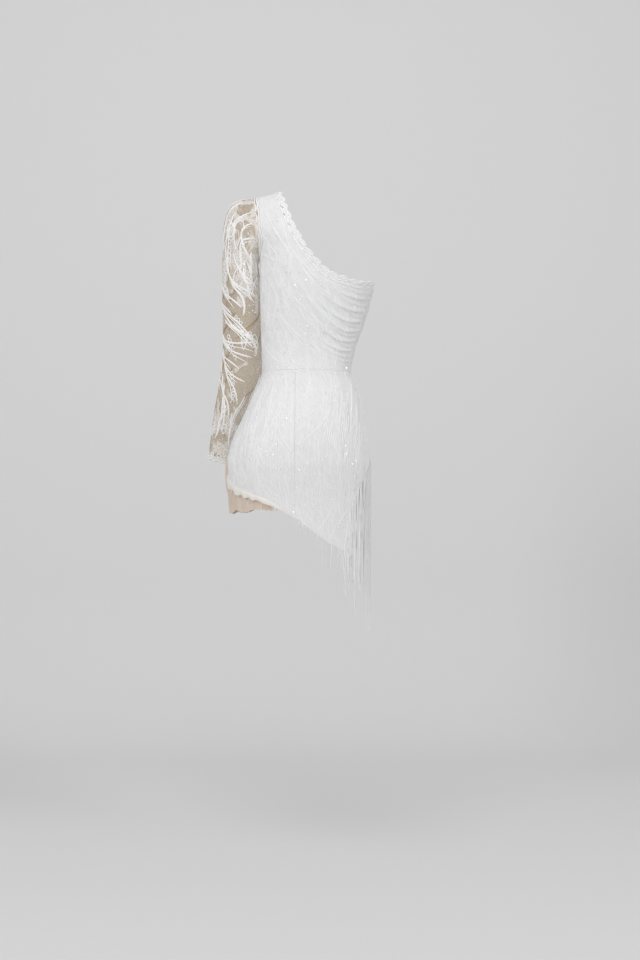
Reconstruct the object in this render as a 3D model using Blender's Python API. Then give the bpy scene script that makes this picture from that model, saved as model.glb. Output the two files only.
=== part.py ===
"""Short one-shoulder lace wedding dress with one sheer sleeve and a fringed hem.

The dress keeps the hollow form it has when worn. +Z is up, the wearer faces -Y, and the wearer's
left is +X. The origin is where the strap hangs on the left shoulder. Metres throughout.
"""

import math

import bpy
import numpy as np

# Cloth walls and the gap at a seam
WALL = 0.0016
SHEER_WALL = 0.0011
TRIM_WALL = 0.0012
SEAM = 0.0004

# The dress's own form, all round the wearer. Columns: height, centre x, half width,
# depth behind the side seams, depth in front of them
BODY_SECTIONS = (
    (0.030, -0.1180, 0.1700, 0.086, 0.080),  # above the strap
    (-0.076, -0.1147, 0.1660, 0.092, 0.092),  # shoulder blades
    (-0.125, -0.1105, 0.1340, 0.096, 0.110),
    (-0.147, -0.1105, 0.1300, 0.097, 0.118),  # armpit
    (-0.204, -0.1100, 0.1287, 0.095, 0.128),  # underarm
    (-0.234, -0.1069, 0.1253, 0.091, 0.130),  # bust
    (-0.290, -0.0995, 0.1168, 0.081, 0.112),
    (-0.346, -0.0905, 0.1055, 0.072, 0.094),
    (-0.396, -0.0865, 0.1004, 0.070, 0.086),  # waist
    (-0.426, -0.0865, 0.1118, 0.078, 0.090),
    (-0.459, -0.0854, 0.1241, 0.092, 0.097),
    (-0.500, -0.0809, 0.1377, 0.108, 0.103),
    (-0.538, -0.0752, 0.1501, 0.118, 0.107),
    (-0.572, -0.0713, 0.1574, 0.122, 0.108),
    (-0.599, -0.0696, 0.1603, 0.122, 0.107),  # hip
    (-0.640, -0.0708, 0.1592, 0.117, 0.105),
    (-0.685, -0.0737, 0.1553, 0.110, 0.103),
    (-0.820, -0.0780, 0.1500, 0.102, 0.100),  # below the hem's point
)
ROUNDNESS = 0.9  # 1 is an ellipse, less is squarer
NORMAL_STEP_ROUND = 0.01
NORMAL_STEP_DOWN = 0.002
STRAP_CROWDING = 1.5  # the bodice's rows close up towards the shoulder, where the strap turns over

# The shoulder, which the strap lies on
SHOULDER_HEIGHT = WALL
SHOULDER_SLOPE = 0.22
SHOULDER_ROUND = 0.13  # drop over which the strap reaches the back's full depth

WAIST = -0.396
UNDERARM_RIGHT = -0.211
ARMPIT = -0.145

# The armhole seen from behind. Columns: height, x
ARMHOLE = (
    (-0.0045, 0.0274),
    (-0.052, 0.0206),
    (-0.087, 0.0182),
    (-0.118, 0.0185),
    (ARMPIT, 0.0196),
)

# The cloth's edge along the one-shoulder neckline of the back. Columns: x, height
NECKLINE = (
    (-0.0141, 0.0047),  # on the shoulder
    (-0.0287, -0.0352),
    (-0.0470, -0.0846),
    (-0.0712, -0.1302),
    (-0.0996, -0.1677),
    (-0.1301, -0.1960),
    (-0.1717, -0.2110),
    (-0.2052, -0.2170),
    (-0.2380, UNDERARM_RIGHT),  # right side seam
)
FRONT_NECK_DROP = 0.016  # the front's edge lies this much lower, away from the shoulder
FRONT_NECK_INSET = 0.010

# Ruching that fans from the right side seam. Columns: height at the seam, height at the inner
# end, reach round the body from the seam (1 is half of the back), ridge height, half width
RUCHES = (
    (-0.2300, -0.2370, 0.40, 0.0022, 0.0050),
    (-0.2460, -0.2600, 0.52, 0.0034, 0.0056),
    (-0.2620, -0.2830, 0.58, 0.0038, 0.0056),
    (-0.2790, -0.3060, 0.62, 0.0044, 0.0060),
    (-0.2970, -0.3260, 0.60, 0.0038, 0.0056),
    (-0.3150, -0.3440, 0.56, 0.0044, 0.0060),
    (-0.3330, -0.3590, 0.58, 0.0036, 0.0056),
    (-0.3500, -0.3710, 0.50, 0.0034, 0.0056),
    (-0.3660, -0.3800, 0.38, 0.0026, 0.0050),
)

# The back's hem. Columns: how far round the body (1 left side, 0 centre, -1 right side), height
BACK_HEM_LEFT = (
    (1.00, -0.632),
    (0.905, -0.641),
    (0.648, -0.662),
    (0.332, -0.684),
    (0.205, -0.699),
    (0.038, -0.7252),
)
BACK_HEM_RIGHT = ((0.038, -0.7252), (-0.106, -0.7557), (-0.242, -0.7799), (-0.393, -0.7979))
BACK_HEM_RISE = (
    (-0.393, -0.7979),  # the hem's point
    (-0.498, -0.6950),
    (-0.657, -0.6450),
    (-0.858, -0.6130),
    (-1.0, -0.6000),
)
BACK_SEAM_X = -0.0625
HEM_POINT = BACK_HEM_RIGHT[-1][0]

# The front's hem, with the same columns, and the slit on the left that shows the nude lining
FRONT_HEM = (
    (-1.00, -0.600),
    (-0.70, -0.620),
    (-0.35, -0.643),
    (0.0, -0.665),
    (0.35, -0.684),
    (0.78, -0.699),
)
SLIT_TOP = -0.545
SLIT_FRONT_EDGE = 0.78
SLIT_FLARE = 0.10  # the height over which the slit opens

# Rows and columns of the panels' grids. The bodice's columns are those of the strap and the neckline
BACK_BODICE_GRID = (34, 4, 20)
FRONT_BODICE_GRID = (24, 3, 15)
LEFT_SKIRT_GRID = (16, 8)
RIGHT_SKIRT_GRID = (18, 6, 8)  # its columns are those left and right of the hem's point
FRONT_SKIRT_GRID = (12, 16)
SKIRT_EDGE_HEIGHT = -0.7  # where a panel's edges are measured to space its columns
FRONT_RUCHE_SHARE = 0.8  # of the ruches' height at the back

# The nude lining under the slit. Columns: place (0 to 1 behind the slit, 1 to 2 across it, 2 to 3
# in front of it), share of the bulge, height of the lower edge
LINING = (
    (0.00, 0.00, -0.7080),
    (0.25, 0.00, -0.7050),
    (0.50, 0.00, -0.7125),
    (0.72, 0.00, -0.7070),
    (0.88, 0.00, -0.7110),
    (1.00, 0.00, -0.7090),
    (1.08, 0.10, -0.7120),
    (1.30, 0.75, -0.7155),
    (1.55, 1.00, -0.7130),
    (1.80, 0.60, -0.7170),
    (1.94, 0.06, -0.7120),
    (2.00, 0.00, -0.7130),
    (2.50, 0.00, -0.7150),
    (3.00, 0.00, -0.7100),
)
LINING_TOP = -0.566
LINING_BACK_START = 0.23  # how far round the body it starts, as for the hem
LINING_FRONT_REACH = 0.28
LINING_ROWS = 8
LINING_INSIDE = 0.0030  # how far inside the dress's form it lies behind the panels
LINING_BULGE = 0.0125  # how far outside it the lining stands in the slit

# The sleeve, from the armhole to the cuff, as rings. Columns: inner x, inner height, outer x,
# outer height, centre y, half depth. The first ring takes its depth from the armhole
SLEEVE_RINGS = (
    (0.0206, -0.1462, 0.0278, -0.0049, 0.000, 0.050),
    (0.0222, -0.1530, 0.0560, -0.0085, 0.000, 0.051),
    (0.0226, -0.1590, 0.0800, -0.0190, 0.000, 0.051),
    (0.0222, -0.1650, 0.0945, -0.0420, 0.000, 0.050),
    (0.0216, -0.1710, 0.1010, -0.0757, -0.001, 0.048),
    (0.0210, -0.1770, 0.1030, -0.1095, -0.002, 0.046),
    (0.0204, -0.1840, 0.1035, -0.1450, -0.003, 0.044),
    (0.0198, -0.2050, 0.1035, -0.1900, -0.005, 0.043),
    (0.0189, -0.2400, 0.1040, -0.2337, -0.009, 0.041),
    (0.0178, -0.2900, 0.1030, -0.2900, -0.014, 0.041),
    (0.0142, -0.3465, 0.1040, -0.3465, -0.020, 0.040),
    (0.0120, -0.3960, 0.1090, -0.3930, -0.030, 0.039),
    (0.0370, -0.4610, 0.1205, -0.4550, -0.045, 0.037),
    (0.0570, -0.5070, 0.1290, -0.4990, -0.058, 0.035),
    (0.0700, -0.5520, 0.1358, -0.5430, -0.070, 0.032),
    (0.0835, -0.5993, 0.1426, -0.5835, -0.080, 0.029),
)
ARMHOLE_RINGS = 2.0  # rings over which the sleeve leaves the armhole's own line
ON_THE_SEAM = 1e-6
SLEEVE_AROUND = 18
SLEEVE_ROWS = 22
SLEEVE_CROWDING = 1.1  # its rows close up a little towards the shoulder

# Lace edging: a band with open scallops
SCALLOP_DEPTH = 0.0095
SCALLOP_LEAN = 0.45
SCALLOP_CORD = 0.0026
ARCH_STEPS = 5
EDGING_BAND = 0.0030
CUFF_SCALLOP_DEPTH = 0.0070
CUFF_ABOVE = 0.96  # share of the sleeve where its direction at the cuff is taken from
EDGING_GAP = 0.0007  # from the cloth's edge, which is straight between its columns
EDGING_INSET = 0.0001  # its outer face lies this much inside the cloth's
EDGING_END = 0.04  # share of a scallop left clear at each end

# Fringe. Each strand leaves the lower face of a narrow strip that follows the hem
STRIP_HEIGHT = 0.0045
STRIP_END = 0.0008  # left clear at each end of the strip
STRAND_ROOT = 0.0030
STRAND_TOP = 0.0012  # across a strand just below its root
STRAND_TIP = 0.0007
STRAND_LEAD = (0.25, 0.75)  # where its root may lie on its stretch of the strip
STRAND_UNEVEN = 0.022
STRAND_LEAST = 0.020
STRAND_DROP = 0.0020  # from the root to the first ring
STRAND_SWING = 0.0018
STRAND_SWING_TURN = 40  # radians of swing for each metre of hem
STRAND_BEND = 0.0010
# Strand spacing, rings in a strand, and the seed of its stretch of fringe
RIGHT_BACK_FRINGE = (0.0050, 3, 3)
BACK_RIGHT_FRINGE = (0.0110, 2, 5)
BACK_LEFT_FRINGE = (0.0170, 2, 6)
FRONT_RIGHT_FRINGE = (0.0045, 3, 7)
FRONT_LEFT_FRINGE = (0.0150, 2, 9)
FRONT_DENSE_COLUMNS = 5  # of the front hem, from the right, carry the dense fringe
# Where the strands end. Columns: x, height
RIGHT_FRINGE_ENDS = ((-0.230, -0.985), (-0.215, -0.970), (-0.195, -0.925), (-0.170, -0.875))
BACK_FRINGE_ENDS = (
    (-0.165, -0.850),
    (-0.120, -0.830),
    (-0.090, -0.780),
    (-0.030, -0.725),
    (0.080, -0.690),
)
FRONT_FRINGE_ENDS = ((-0.230, -0.950), (-0.180, -0.860), (-0.100, -0.740), (0.080, -0.735))

WHITE_LACE = (0.83, 0.83, 0.82, 1.0)
WHITE_CORD = (0.88, 0.88, 0.87, 1.0)
NUDE_TULLE = (0.58, 0.50, 0.42, 1.0)
NUDE_LINING = (0.54, 0.45, 0.37, 1.0)


def clear_scene():
    for obj in list(bpy.data.objects):
        bpy.data.objects.remove(obj)


def cloth_material(name, colour):
    material = bpy.data.materials.new(name)
    material.use_nodes = True
    shader = material.node_tree.nodes["Principled BSDF"]
    shader.inputs["Base Color"].default_value = colour
    shader.inputs["Roughness"].default_value = 0.8
    shader.inputs["Metallic"].default_value = 0.0
    return material


def smooth_curve(rows, key, value, at):
    """The value at a key, on a smooth curve through the rows that never overshoots them."""
    keys = np.array([row[key] for row in rows], float)
    values = np.array([row[value] for row in rows], float)
    order = np.argsort(keys)
    keys, values = keys[order], values[order]
    steps = np.diff(values) / np.diff(keys)
    slopes = np.zeros(len(keys))
    same_way = steps[:-1] * steps[1:] > 0
    before, after = steps[:-1][same_way], steps[1:][same_way]
    slopes[1:-1][same_way] = 2 * before * after / (before + after)
    slopes[0], slopes[-1] = steps[0], steps[-1]
    at = np.clip(np.asarray(at, float), keys[0], keys[-1])
    i = np.clip(np.searchsorted(keys, at) - 1, 0, len(keys) - 2)
    span = keys[i + 1] - keys[i]
    t = (at - keys[i]) / span
    return (
        (2 * t**3 - 3 * t**2 + 1) * values[i]
        + (t**3 - 2 * t**2 + t) * span * slopes[i]
        + (3 * t**2 - 2 * t**3) * values[i + 1]
        + (t**3 - t**2) * span * slopes[i + 1]
    )


def body_section(height):
    """Centre x, half width, back depth and front depth of the dress's form at a height."""
    return [smooth_curve(BODY_SECTIONS, 0, column, height) for column in (1, 2, 3, 4)]


def shoulder_top(x):
    return SHOULDER_HEIGHT - SHOULDER_SLOPE * x


def shoulder_share(x, height):
    """The part of the full depth that is reached this far below the shoulder."""
    drop = np.clip((shoulder_top(x) - height) / SHOULDER_ROUND, 0, 1)
    return np.sqrt(1 - (1 - drop) ** 2)


def x_at(round_body, height):
    """x of the point this far round the body: 1 left side, 0 centre, -1 right side."""
    centre, half_width, _, _ = body_section(height)
    turn = np.sin(np.abs(round_body) * math.pi / 2)
    return centre + half_width * np.sign(round_body) * turn**ROUNDNESS


def round_at(x, height):
    """How far round the body the point at this x lies."""
    centre, half_width, _, _ = body_section(height)
    share = np.clip((x - centre) / half_width, -1, 1)
    return np.sign(share) * np.arcsin(np.abs(share) ** (1 / ROUNDNESS)) / (math.pi / 2)


def body_point(side, round_body, height):
    """A point of the dress's outer form. side is 1 on the back and -1 on the front."""
    _, _, back, front = body_section(height)
    x = x_at(round_body, height)
    depth = back if side > 0 else front
    bow = np.clip(np.cos(round_body * math.pi / 2), 0, 1) ** ROUNDNESS
    y = side * (SEAM / 2 + depth * bow * shoulder_share(x, height))
    return np.stack(np.broadcast_arrays(x, y, height), axis=-1)


def ruche_height(round_body, height):
    """How far the ruched cloth stands out, right of the middle."""
    from_seam = 1 + np.asarray(round_body)
    total = np.zeros(np.broadcast(round_body, height).shape)
    for at_seam, at_end, reach, ridge, half_width in RUCHES:
        along = np.clip(from_seam / reach, 0, 1)
        line = at_seam + (at_end - at_seam) * along**1.3
        fade = np.clip(1 - along, 0, 1) ** 0.8 * np.clip(from_seam / 0.03, 0, 1)
        total += ridge * fade * np.exp(-(((height - line) / half_width) ** 2))
    return total


def grid_normals(points, wraps):
    """Unit normals of a grid of points with rows along the first axis."""
    if wraps:
        across = np.roll(points, -1, axis=1) - np.roll(points, 1, axis=1)
    else:
        across = np.gradient(points, axis=1)
    along = np.gradient(points, axis=0)
    normals = np.cross(across, along)
    return normals / np.linalg.norm(normals, axis=2, keepdims=True)


def cloth_between(name, outer, inner, material, collection):
    """A closed wall between two grids of points, with a rim at its edges."""
    rows, columns, _ = outer.shape
    layer = rows * columns

    def index(level, i, j):
        return level * layer + i * columns + j

    faces = []
    for i in range(rows - 1):
        for j in range(columns - 1):
            quad = [(i, j), (i, j + 1), (i + 1, j + 1), (i + 1, j)]
            faces.append([index(0, *corner) for corner in quad])
            faces.append([index(1, *corner) for corner in reversed(quad)])
    end = rows - 1
    for j in range(columns - 1):
        faces.append([index(0, 0, j + 1), index(0, 0, j), index(1, 0, j), index(1, 0, j + 1)])
        faces.append([index(0, end, j), index(0, end, j + 1), index(1, end, j + 1), index(1, end, j)])
    end = columns - 1
    for i in range(rows - 1):
        faces.append([index(0, i, 0), index(0, i + 1, 0), index(1, i + 1, 0), index(1, i, 0)])
        faces.append([index(0, i + 1, end), index(0, i, end), index(1, i, end), index(1, i + 1, end)])
    mesh = bpy.data.meshes.new(name)
    mesh.from_pydata(np.concatenate([outer.reshape(-1, 3), inner.reshape(-1, 3)]).tolist(), [], faces)
    mesh.materials.append(material)
    mesh.shade_smooth()
    mesh.set_sharp_from_angle(angle=math.radians(50))
    collection.objects.link(bpy.data.objects.new(name, mesh))


def form_normals(side, turn, height):
    """Outward normals of the dress's form, from short steps towards the middle and down."""
    inward = np.where(turn < 0, 1.0, -1.0) * NORMAL_STEP_ROUND
    here = body_point(side, turn, height)
    across = (body_point(side, turn + inward, height) - here) * np.sign(inward)[..., None]
    down = body_point(side, turn, height - NORMAL_STEP_DOWN) - here
    normals = np.cross(across, down) * side
    return normals / np.linalg.norm(normals, axis=-1, keepdims=True)


def panel(name, side, turn, height, material, collection, relief=None):
    """A wall of cloth inwards from the dress's form, kept on its own side of the seams.

    It returns the outer points and the normals, which fringe and edgings follow.
    """
    outer = body_point(side, turn, height)
    normals = form_normals(side, turn, height)
    inner = outer - WALL * normals
    inner[..., 1] = side * np.maximum(side * inner[..., 1], SEAM / 2)
    raised = outer if relief is None else outer + normals * relief[..., None]
    raised[..., 1] = side * np.maximum(side * raised[..., 1], SEAM / 2)
    cloth_between(name, raised, inner, material, collection)
    return raised, normals


def filled_patch(bottom, top, left, right, across, up):
    """Points (x, height) inside four edges that meet at their ends.

    bottom and top are arrays of points, left and right are functions of the share of the way up,
    and up holds that share for each point of the grid.
    """
    u = across[None, :, None]
    v = up[:, :, None]
    straight_left = (1 - v) * bottom[0] + v * top[0]
    straight_right = (1 - v) * bottom[-1] + v * top[-1]
    points = (1 - v) * bottom + v * top
    return points + (1 - u) * (left(up) - straight_left) + u * (right(up) - straight_right)


def neckline_points(side, count):
    """The neckline's edge from the shoulder to the right side seam, as (x, height)."""
    xs = [row[0] for row in NECKLINE]
    heights = [row[1] for row in NECKLINE]
    lengths = np.concatenate([[0], np.cumsum(np.hypot(np.diff(xs), np.diff(heights)))])
    rows = [(length, x, height) for length, x, height in zip(lengths, xs, heights)]
    along = np.linspace(0, lengths[-1], count)
    x = smooth_curve(rows, 0, 1, along)
    height = smooth_curve(rows, 0, 2, along)
    if side < 0:
        share = along / lengths[-1]
        away = np.sin(math.pi * np.clip(share, 0, 1)) ** 0.7
        x = x + FRONT_NECK_INSET * away
        height = height - FRONT_NECK_DROP * away
    height[0] = shoulder_top(x[0])
    x[-1] = x_at(-1, height[-1])
    return np.stack([x, height], axis=1)


def armhole_points(heights):
    """The armhole's edge, and the side seam below the armpit, as (x, height)."""
    x = np.where(heights <= ARMPIT, x_at(1, heights), smooth_curve(ARMHOLE, 0, 1, heights))
    return np.stack([x, heights], axis=-1)


def bodice(name, side, grid, material, collection):
    """One side of the bodice, with its strap, from the waist seam to the neckline."""
    rows, strap_columns, neck_columns = grid
    columns = strap_columns + neck_columns
    across = np.linspace(0, 1, columns + 1)
    crowding = STRAP_CROWDING + (1 - STRAP_CROWDING) * across
    up = 1 - (1 - np.linspace(0, 1, rows + 1)[:, None]) ** crowding
    waist = WAIST + SEAM / 2
    bottom = np.stack([x_at(1 - 2 * across, waist), np.full(columns + 1, waist)], axis=1)
    neck = neckline_points(side, neck_columns + 1)
    strap_x = np.linspace(ARMHOLE[0][1], NECKLINE[0][0], strap_columns + 1)
    strap_z = shoulder_top(strap_x)
    strap = np.stack([strap_x, strap_z], axis=1)
    top = np.concatenate([strap, neck[1:]])

    def left(share):
        return armhole_points(waist + (strap_z[0] - waist) * share)

    def right(share):
        heights = waist + (UNDERARM_RIGHT - waist) * share
        return np.stack([x_at(-1, heights), heights], axis=-1)

    flat = filled_patch(bottom, top, left, right, across, up)
    height = flat[..., 1]
    turn = round_at(flat[..., 0], height)
    turn[:, -1] = -1
    turn[height[:, 0] <= ARMPIT, 0] = 1
    if side < 0:
        turn, height = turn[:, ::-1], height[:, ::-1]
    share = 1.0 if side > 0 else FRONT_RUCHE_SHARE
    relief = share * ruche_height(turn, height)
    relief[-1] = 0
    relief[0] = 0
    points, normals = panel(name, side, turn, height, material, collection, relief)
    neck = slice(strap_columns, None) if side > 0 else slice(None, neck_columns + 1)
    return points[-1, neck], normals[-1, neck]


def skirt_panel(name, side, first, last, hem, grid, material, collection):
    """A skirt panel between two edges, each a function of height, from the waist to its hem.

    hem is a function of how far round the body a column lies. Columns run as for the bodice.
    """
    rows, columns = grid
    across = np.linspace(0, 1, columns + 1)
    top = WAIST - SEAM / 2
    first_low = first(SKIRT_EDGE_HEIGHT)
    lowest = hem(first_low + (last(SKIRT_EDGE_HEIGHT) - first_low) * across)
    up = np.linspace(0, 1, rows + 1)
    height = lowest[None, :] + (top - lowest)[None, :] * up[:, None]
    start = np.vectorize(first)(height)
    end = np.vectorize(last)(height)
    turn = start + (end - start) * across[None, :]
    points, normals = panel(name, side, turn, height, material, collection)
    return points[0], normals[0]


def seam_turn(offset):
    """The centre-back seam, moved sideways by an offset, as a function of height."""
    return lambda height: float(round_at(BACK_SEAM_X + offset, height))


def table_hem(rows):
    return lambda turn: smooth_curve(rows, 0, 1, turn)


def slit_edge(height):
    """The front panel's left edge: the side seam, then forward of it below the slit's top."""
    below = np.clip((SLIT_TOP - height) / SLIT_FLARE, 0, 1)
    return 1 - (1 - SLIT_FRONT_EDGE) * (3 * below**2 - 2 * below**3)


def left_seam(height):
    return 1.0


def right_seam(height):
    return -1.0


def back_skirts(material, collection):
    """The two back panels. It returns the hems left and right of the seam, and the steep rise."""
    left_hem = skirt_panel(
        "back_skirt_left", 1, left_seam, seam_turn(SEAM / 2), table_hem(BACK_HEM_LEFT),
        LEFT_SKIRT_GRID, material, collection,
    )
    rows, middle_columns, rise_columns = RIGHT_SKIRT_GRID
    top = WAIST - SEAM / 2
    seam = seam_turn(-SEAM / 2)
    low_turn = np.linspace(BACK_HEM_RIGHT[0][0], HEM_POINT, middle_columns + 1)
    rise_turn = np.linspace(HEM_POINT, -1, rise_columns + 1)
    lowest = np.concatenate(
        [smooth_curve(BACK_HEM_RIGHT, 0, 1, low_turn), smooth_curve(BACK_HEM_RISE, 0, 1, rise_turn)[1:]]
    )
    share = np.concatenate([low_turn, rise_turn[1:]])
    share = (share[0] - share) / (share[0] + 1)
    up = np.linspace(0, 1, rows + 1)
    height = lowest[None, :] + (top - lowest)[None, :] * up[:, None]
    start = np.vectorize(seam)(height)
    turn = start + (-1 - start) * share[None, :]
    points, normals = panel("back_skirt_right", 1, turn, height, material, collection)
    diagonal = slice(None, middle_columns + 1)
    rise = slice(middle_columns, None)
    return left_hem, (points[0, diagonal], normals[0, diagonal]), (points[0, rise], normals[0, rise])


def front_skirt(material, collection):
    return skirt_panel(
        "front_skirt", -1, right_seam, slit_edge, table_hem(FRONT_HEM), FRONT_SKIRT_GRID,
        material, collection,
    )


def wrapped_point(turn, height, outside):
    """A point past the left side seam where turn is over 1, moved outside the dress's form."""
    folded = np.where(turn > 1, 2 - turn, turn)
    back = body_point(1, folded, height)
    front = body_point(-1, folded, height)
    point = np.where((turn > 1)[..., None], front, back)
    away = point.copy()
    away[..., 0] -= body_section(height)[0]
    away[..., 2] = 0
    away /= np.linalg.norm(away, axis=-1, keepdims=True)
    return point + away * outside[..., None]


def side_lining(material, collection):
    """The nude lining that shows in the slit and below the back's hem on the left."""
    place = np.array([row[0] for row in LINING])
    lowest = np.array([row[2] for row in LINING])
    bulge = np.array([row[1] for row in LINING])
    height = lowest + (LINING_TOP - lowest) * np.linspace(0, 1, LINING_ROWS + 1)[:, None]
    slit = 1 - slit_edge(height)
    behind = LINING_BACK_START + (1 - LINING_BACK_START) * np.clip(place, 0, 1)
    across = slit * np.clip(place - 1, 0, 1)
    before = LINING_FRONT_REACH * np.clip(place - 2, 0, 1)
    turn = behind + across + before
    opening = slit / (1 - SLIT_FRONT_EDGE)
    outside = -LINING_INSIDE + (LINING_BULGE + LINING_INSIDE) * bulge * opening
    # Columns run from the back round to the front, so the grid is turned to face outwards
    outer = wrapped_point(turn, height, outside)[:, ::-1]
    inner = outer - SHEER_WALL * grid_normals(outer, False)
    cloth_between("side_lining", outer, inner, material, collection)


def sleeve_ring_values(share):
    """The sleeve's ring columns at a share of the way from the armhole to the cuff."""
    rows = [(i / (len(SLEEVE_RINGS) - 1), *row) for i, row in enumerate(SLEEVE_RINGS)]
    return [smooth_curve(rows, 0, column, share) for column in range(1, 7)]


def armhole_edge(height, side):
    """The armhole's x at a height, and its distance behind or in front of the side seam."""
    x = float(smooth_curve(ARMHOLE, 0, 1, height))
    turn = float(round_at(x, height))
    return x, float(np.abs(body_point(side, turn, height)[..., 1]))


def sleeve_point(share, angle):
    """A point of the sleeve. angle 0 is its underarm side, and a quarter turn is the back."""
    inner_x, inner_z, outer_x, outer_z, centre_y, half_depth = sleeve_ring_values(share)
    along = 0.5 - 0.5 * math.cos(angle)
    round_y = math.sin(angle)
    y = centre_y + half_depth * round_y
    x = inner_x + (outer_x - inner_x) * along
    height = inner_z + (outer_z - inner_z) * along
    blend = max(0.0, 1 - share * (len(SLEEVE_RINGS) - 1) / ARMHOLE_RINGS)
    if blend > 0:
        side = 1 if round_y >= 0 else -1
        seam_height = ARMPIT + (ARMHOLE[0][0] - ARMPIT) * along
        seam_x, depth = armhole_edge(seam_height, side)
        fitted = side * depth if abs(round_y) > ON_THE_SEAM else 0.0
        y = (1 - blend) * y + blend * fitted
        straight_x = SLEEVE_RINGS[0][0] + (SLEEVE_RINGS[0][2] - SLEEVE_RINGS[0][0]) * along
        x += blend * (seam_x + SEAM - straight_x)
    return x, y, height


def sleeve(material, collection):
    """The sleeve's tube, as a back and a front half that meet along the arm."""
    shares = np.linspace(0, 1, SLEEVE_ROWS + 1) ** SLEEVE_CROWDING
    angles = np.arange(SLEEVE_AROUND) * 2 * math.pi / SLEEVE_AROUND
    outer = np.array([[sleeve_point(share, angle) for angle in angles] for share in shares])
    inner = outer - SHEER_WALL * grid_normals(outer, True)
    inner[0, :, 0] = np.maximum(inner[0, :, 0], outer[0, :, 0])
    meeting_y = outer[:, :1, 1]
    half = SLEEVE_AROUND // 2
    for name, side, first in (("sleeve_back", 1, 0), ("sleeve_front", -1, half)):
        columns = (first + np.arange(half + 1)) % SLEEVE_AROUND
        layers = [outer[:, columns], inner[:, columns]]
        for layer in layers:
            layer[..., 1] = meeting_y + side * np.maximum(side * (layer[..., 1] - meeting_y), SEAM / 2)
        cloth_between(name, *layers, material, collection)


def flat_lace(scallops, pitch, depth, lean):
    """A scalloped edging laid flat: points as (along, across), and its faces.

    A band lies below zero across, and an open arch stands on each pitch of it.
    """
    points = []
    faces = []
    index = {}

    def point(along, across):
        key = (round(along, 6), round(across, 6))
        if key not in index:
            index[key] = len(points)
            points.append((along + lean * max(across, 0), across))
        return index[key]

    for scallop in range(scallops):
        start = scallop * pitch
        stops = (start, start + SCALLOP_CORD, start + pitch - SCALLOP_CORD, start + pitch)
        for first, last in zip(stops, stops[1:]):
            low = (point(first, -EDGING_BAND), point(last, -EDGING_BAND))
            faces.append([*low, point(last, 0), point(first, 0)])
        arch = []
        for step in range(ARCH_STEPS + 1):
            angle = math.pi * step / ARCH_STEPS
            outer = (start + pitch / 2 * (1 - math.cos(angle)), depth * math.sin(angle))
            radius = pitch / 2 - SCALLOP_CORD
            inner = (start + pitch / 2 - radius * math.cos(angle), (depth - SCALLOP_CORD) * math.sin(angle))
            arch.append((point(*outer), point(*inner)))
        for (outer_a, inner_a), (outer_b, inner_b) in zip(arch, arch[1:]):
            faces.append([outer_a, inner_a, inner_b, outer_b])
    return points, faces


def lace_wall(name, points, faces, place, material, collection):
    """A wall of lace from its flat form. place gives the 3-D point of (along, across, depth)."""
    outer = [place(along, across, 0) for along, across in points]
    inner = [place(along, across, TRIM_WALL) for along, across in points]
    count = len(points)
    edges = {}
    for face in faces:
        for a, b in zip(face, face[1:] + face[:1]):
            edges[(a, b)] = edges.get((a, b), 0) + 1
    walls = [list(face) for face in faces]
    walls += [[count + corner for corner in reversed(face)] for face in faces]
    walls += [[b, a, count + a, count + b] for a, b in edges if (b, a) not in edges]
    mesh = bpy.data.meshes.new(name)
    mesh.from_pydata([tuple(p) for p in outer + inner], [], walls)
    mesh.materials.append(material)
    collection.objects.link(bpy.data.objects.new(name, mesh))
    face_outwards(mesh)


def away_from_cloth(points, normals):
    """Directions past the cloth, for points along an edge of it."""
    away = np.cross(normals, np.gradient(points, axis=0))
    return away / np.linalg.norm(away, axis=1, keepdims=True)


def along_line(table, places, at):
    """Rows of a table of vectors at places along a line."""
    return np.stack([np.interp(at, places, table[:, i]) for i in range(table.shape[1])], axis=-1)


def scalloped_edging(name, edge, normals, away, reach, lean, material, collection):
    """Lace sewn on past an edge of the cloth, with a scallop on each side of that edge."""
    sides = len(edge) - 1
    pitch = np.linalg.norm(np.diff(edge, axis=0), axis=1).mean()
    points, faces = flat_lace(sides, pitch, reach, lean)
    places = np.arange(sides + 1)

    def place(along, across, depth):
        at = np.clip(along / pitch, EDGING_END, sides - EDGING_END)
        past = EDGING_GAP + EDGING_BAND + across
        point = along_line(edge, places, at) + past * along_line(away, places, at)
        return point - (EDGING_INSET + depth) * along_line(normals, places, at)

    lace_wall(name, points, faces, place, material, collection)


def neckline_edging(name, neckline, material, collection):
    """Scalloped lace along the neckline of one side of the bodice."""
    edge, normals = neckline
    away = away_from_cloth(edge, normals)
    away *= np.sign(away[len(away) // 2, 2])
    scalloped_edging(name, edge, normals, away, SCALLOP_DEPTH, SCALLOP_LEAN, material, collection)


def cuff_edging(name, side, material, collection):
    """Half of the scalloped lace at the cuff."""
    start = 0 if side > 0 else math.pi
    angles = [start + 2 * math.pi * i / SLEEVE_AROUND for i in range(SLEEVE_AROUND // 2 + 1)]
    edge = np.array([sleeve_point(1.0, angle) for angle in angles])
    above = np.array([sleeve_point(CUFF_ABOVE, angle) for angle in angles])
    away = edge - above
    away /= np.linalg.norm(away, axis=1, keepdims=True)
    centre = (edge[0] + edge[-1]) / 2
    normals = edge - centre
    normals -= away * np.sum(normals * away, axis=1, keepdims=True)
    normals /= np.linalg.norm(normals, axis=1, keepdims=True)
    scalloped_edging(name, edge, normals, away, CUFF_SCALLOP_DEPTH, 0.0, material, collection)


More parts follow.
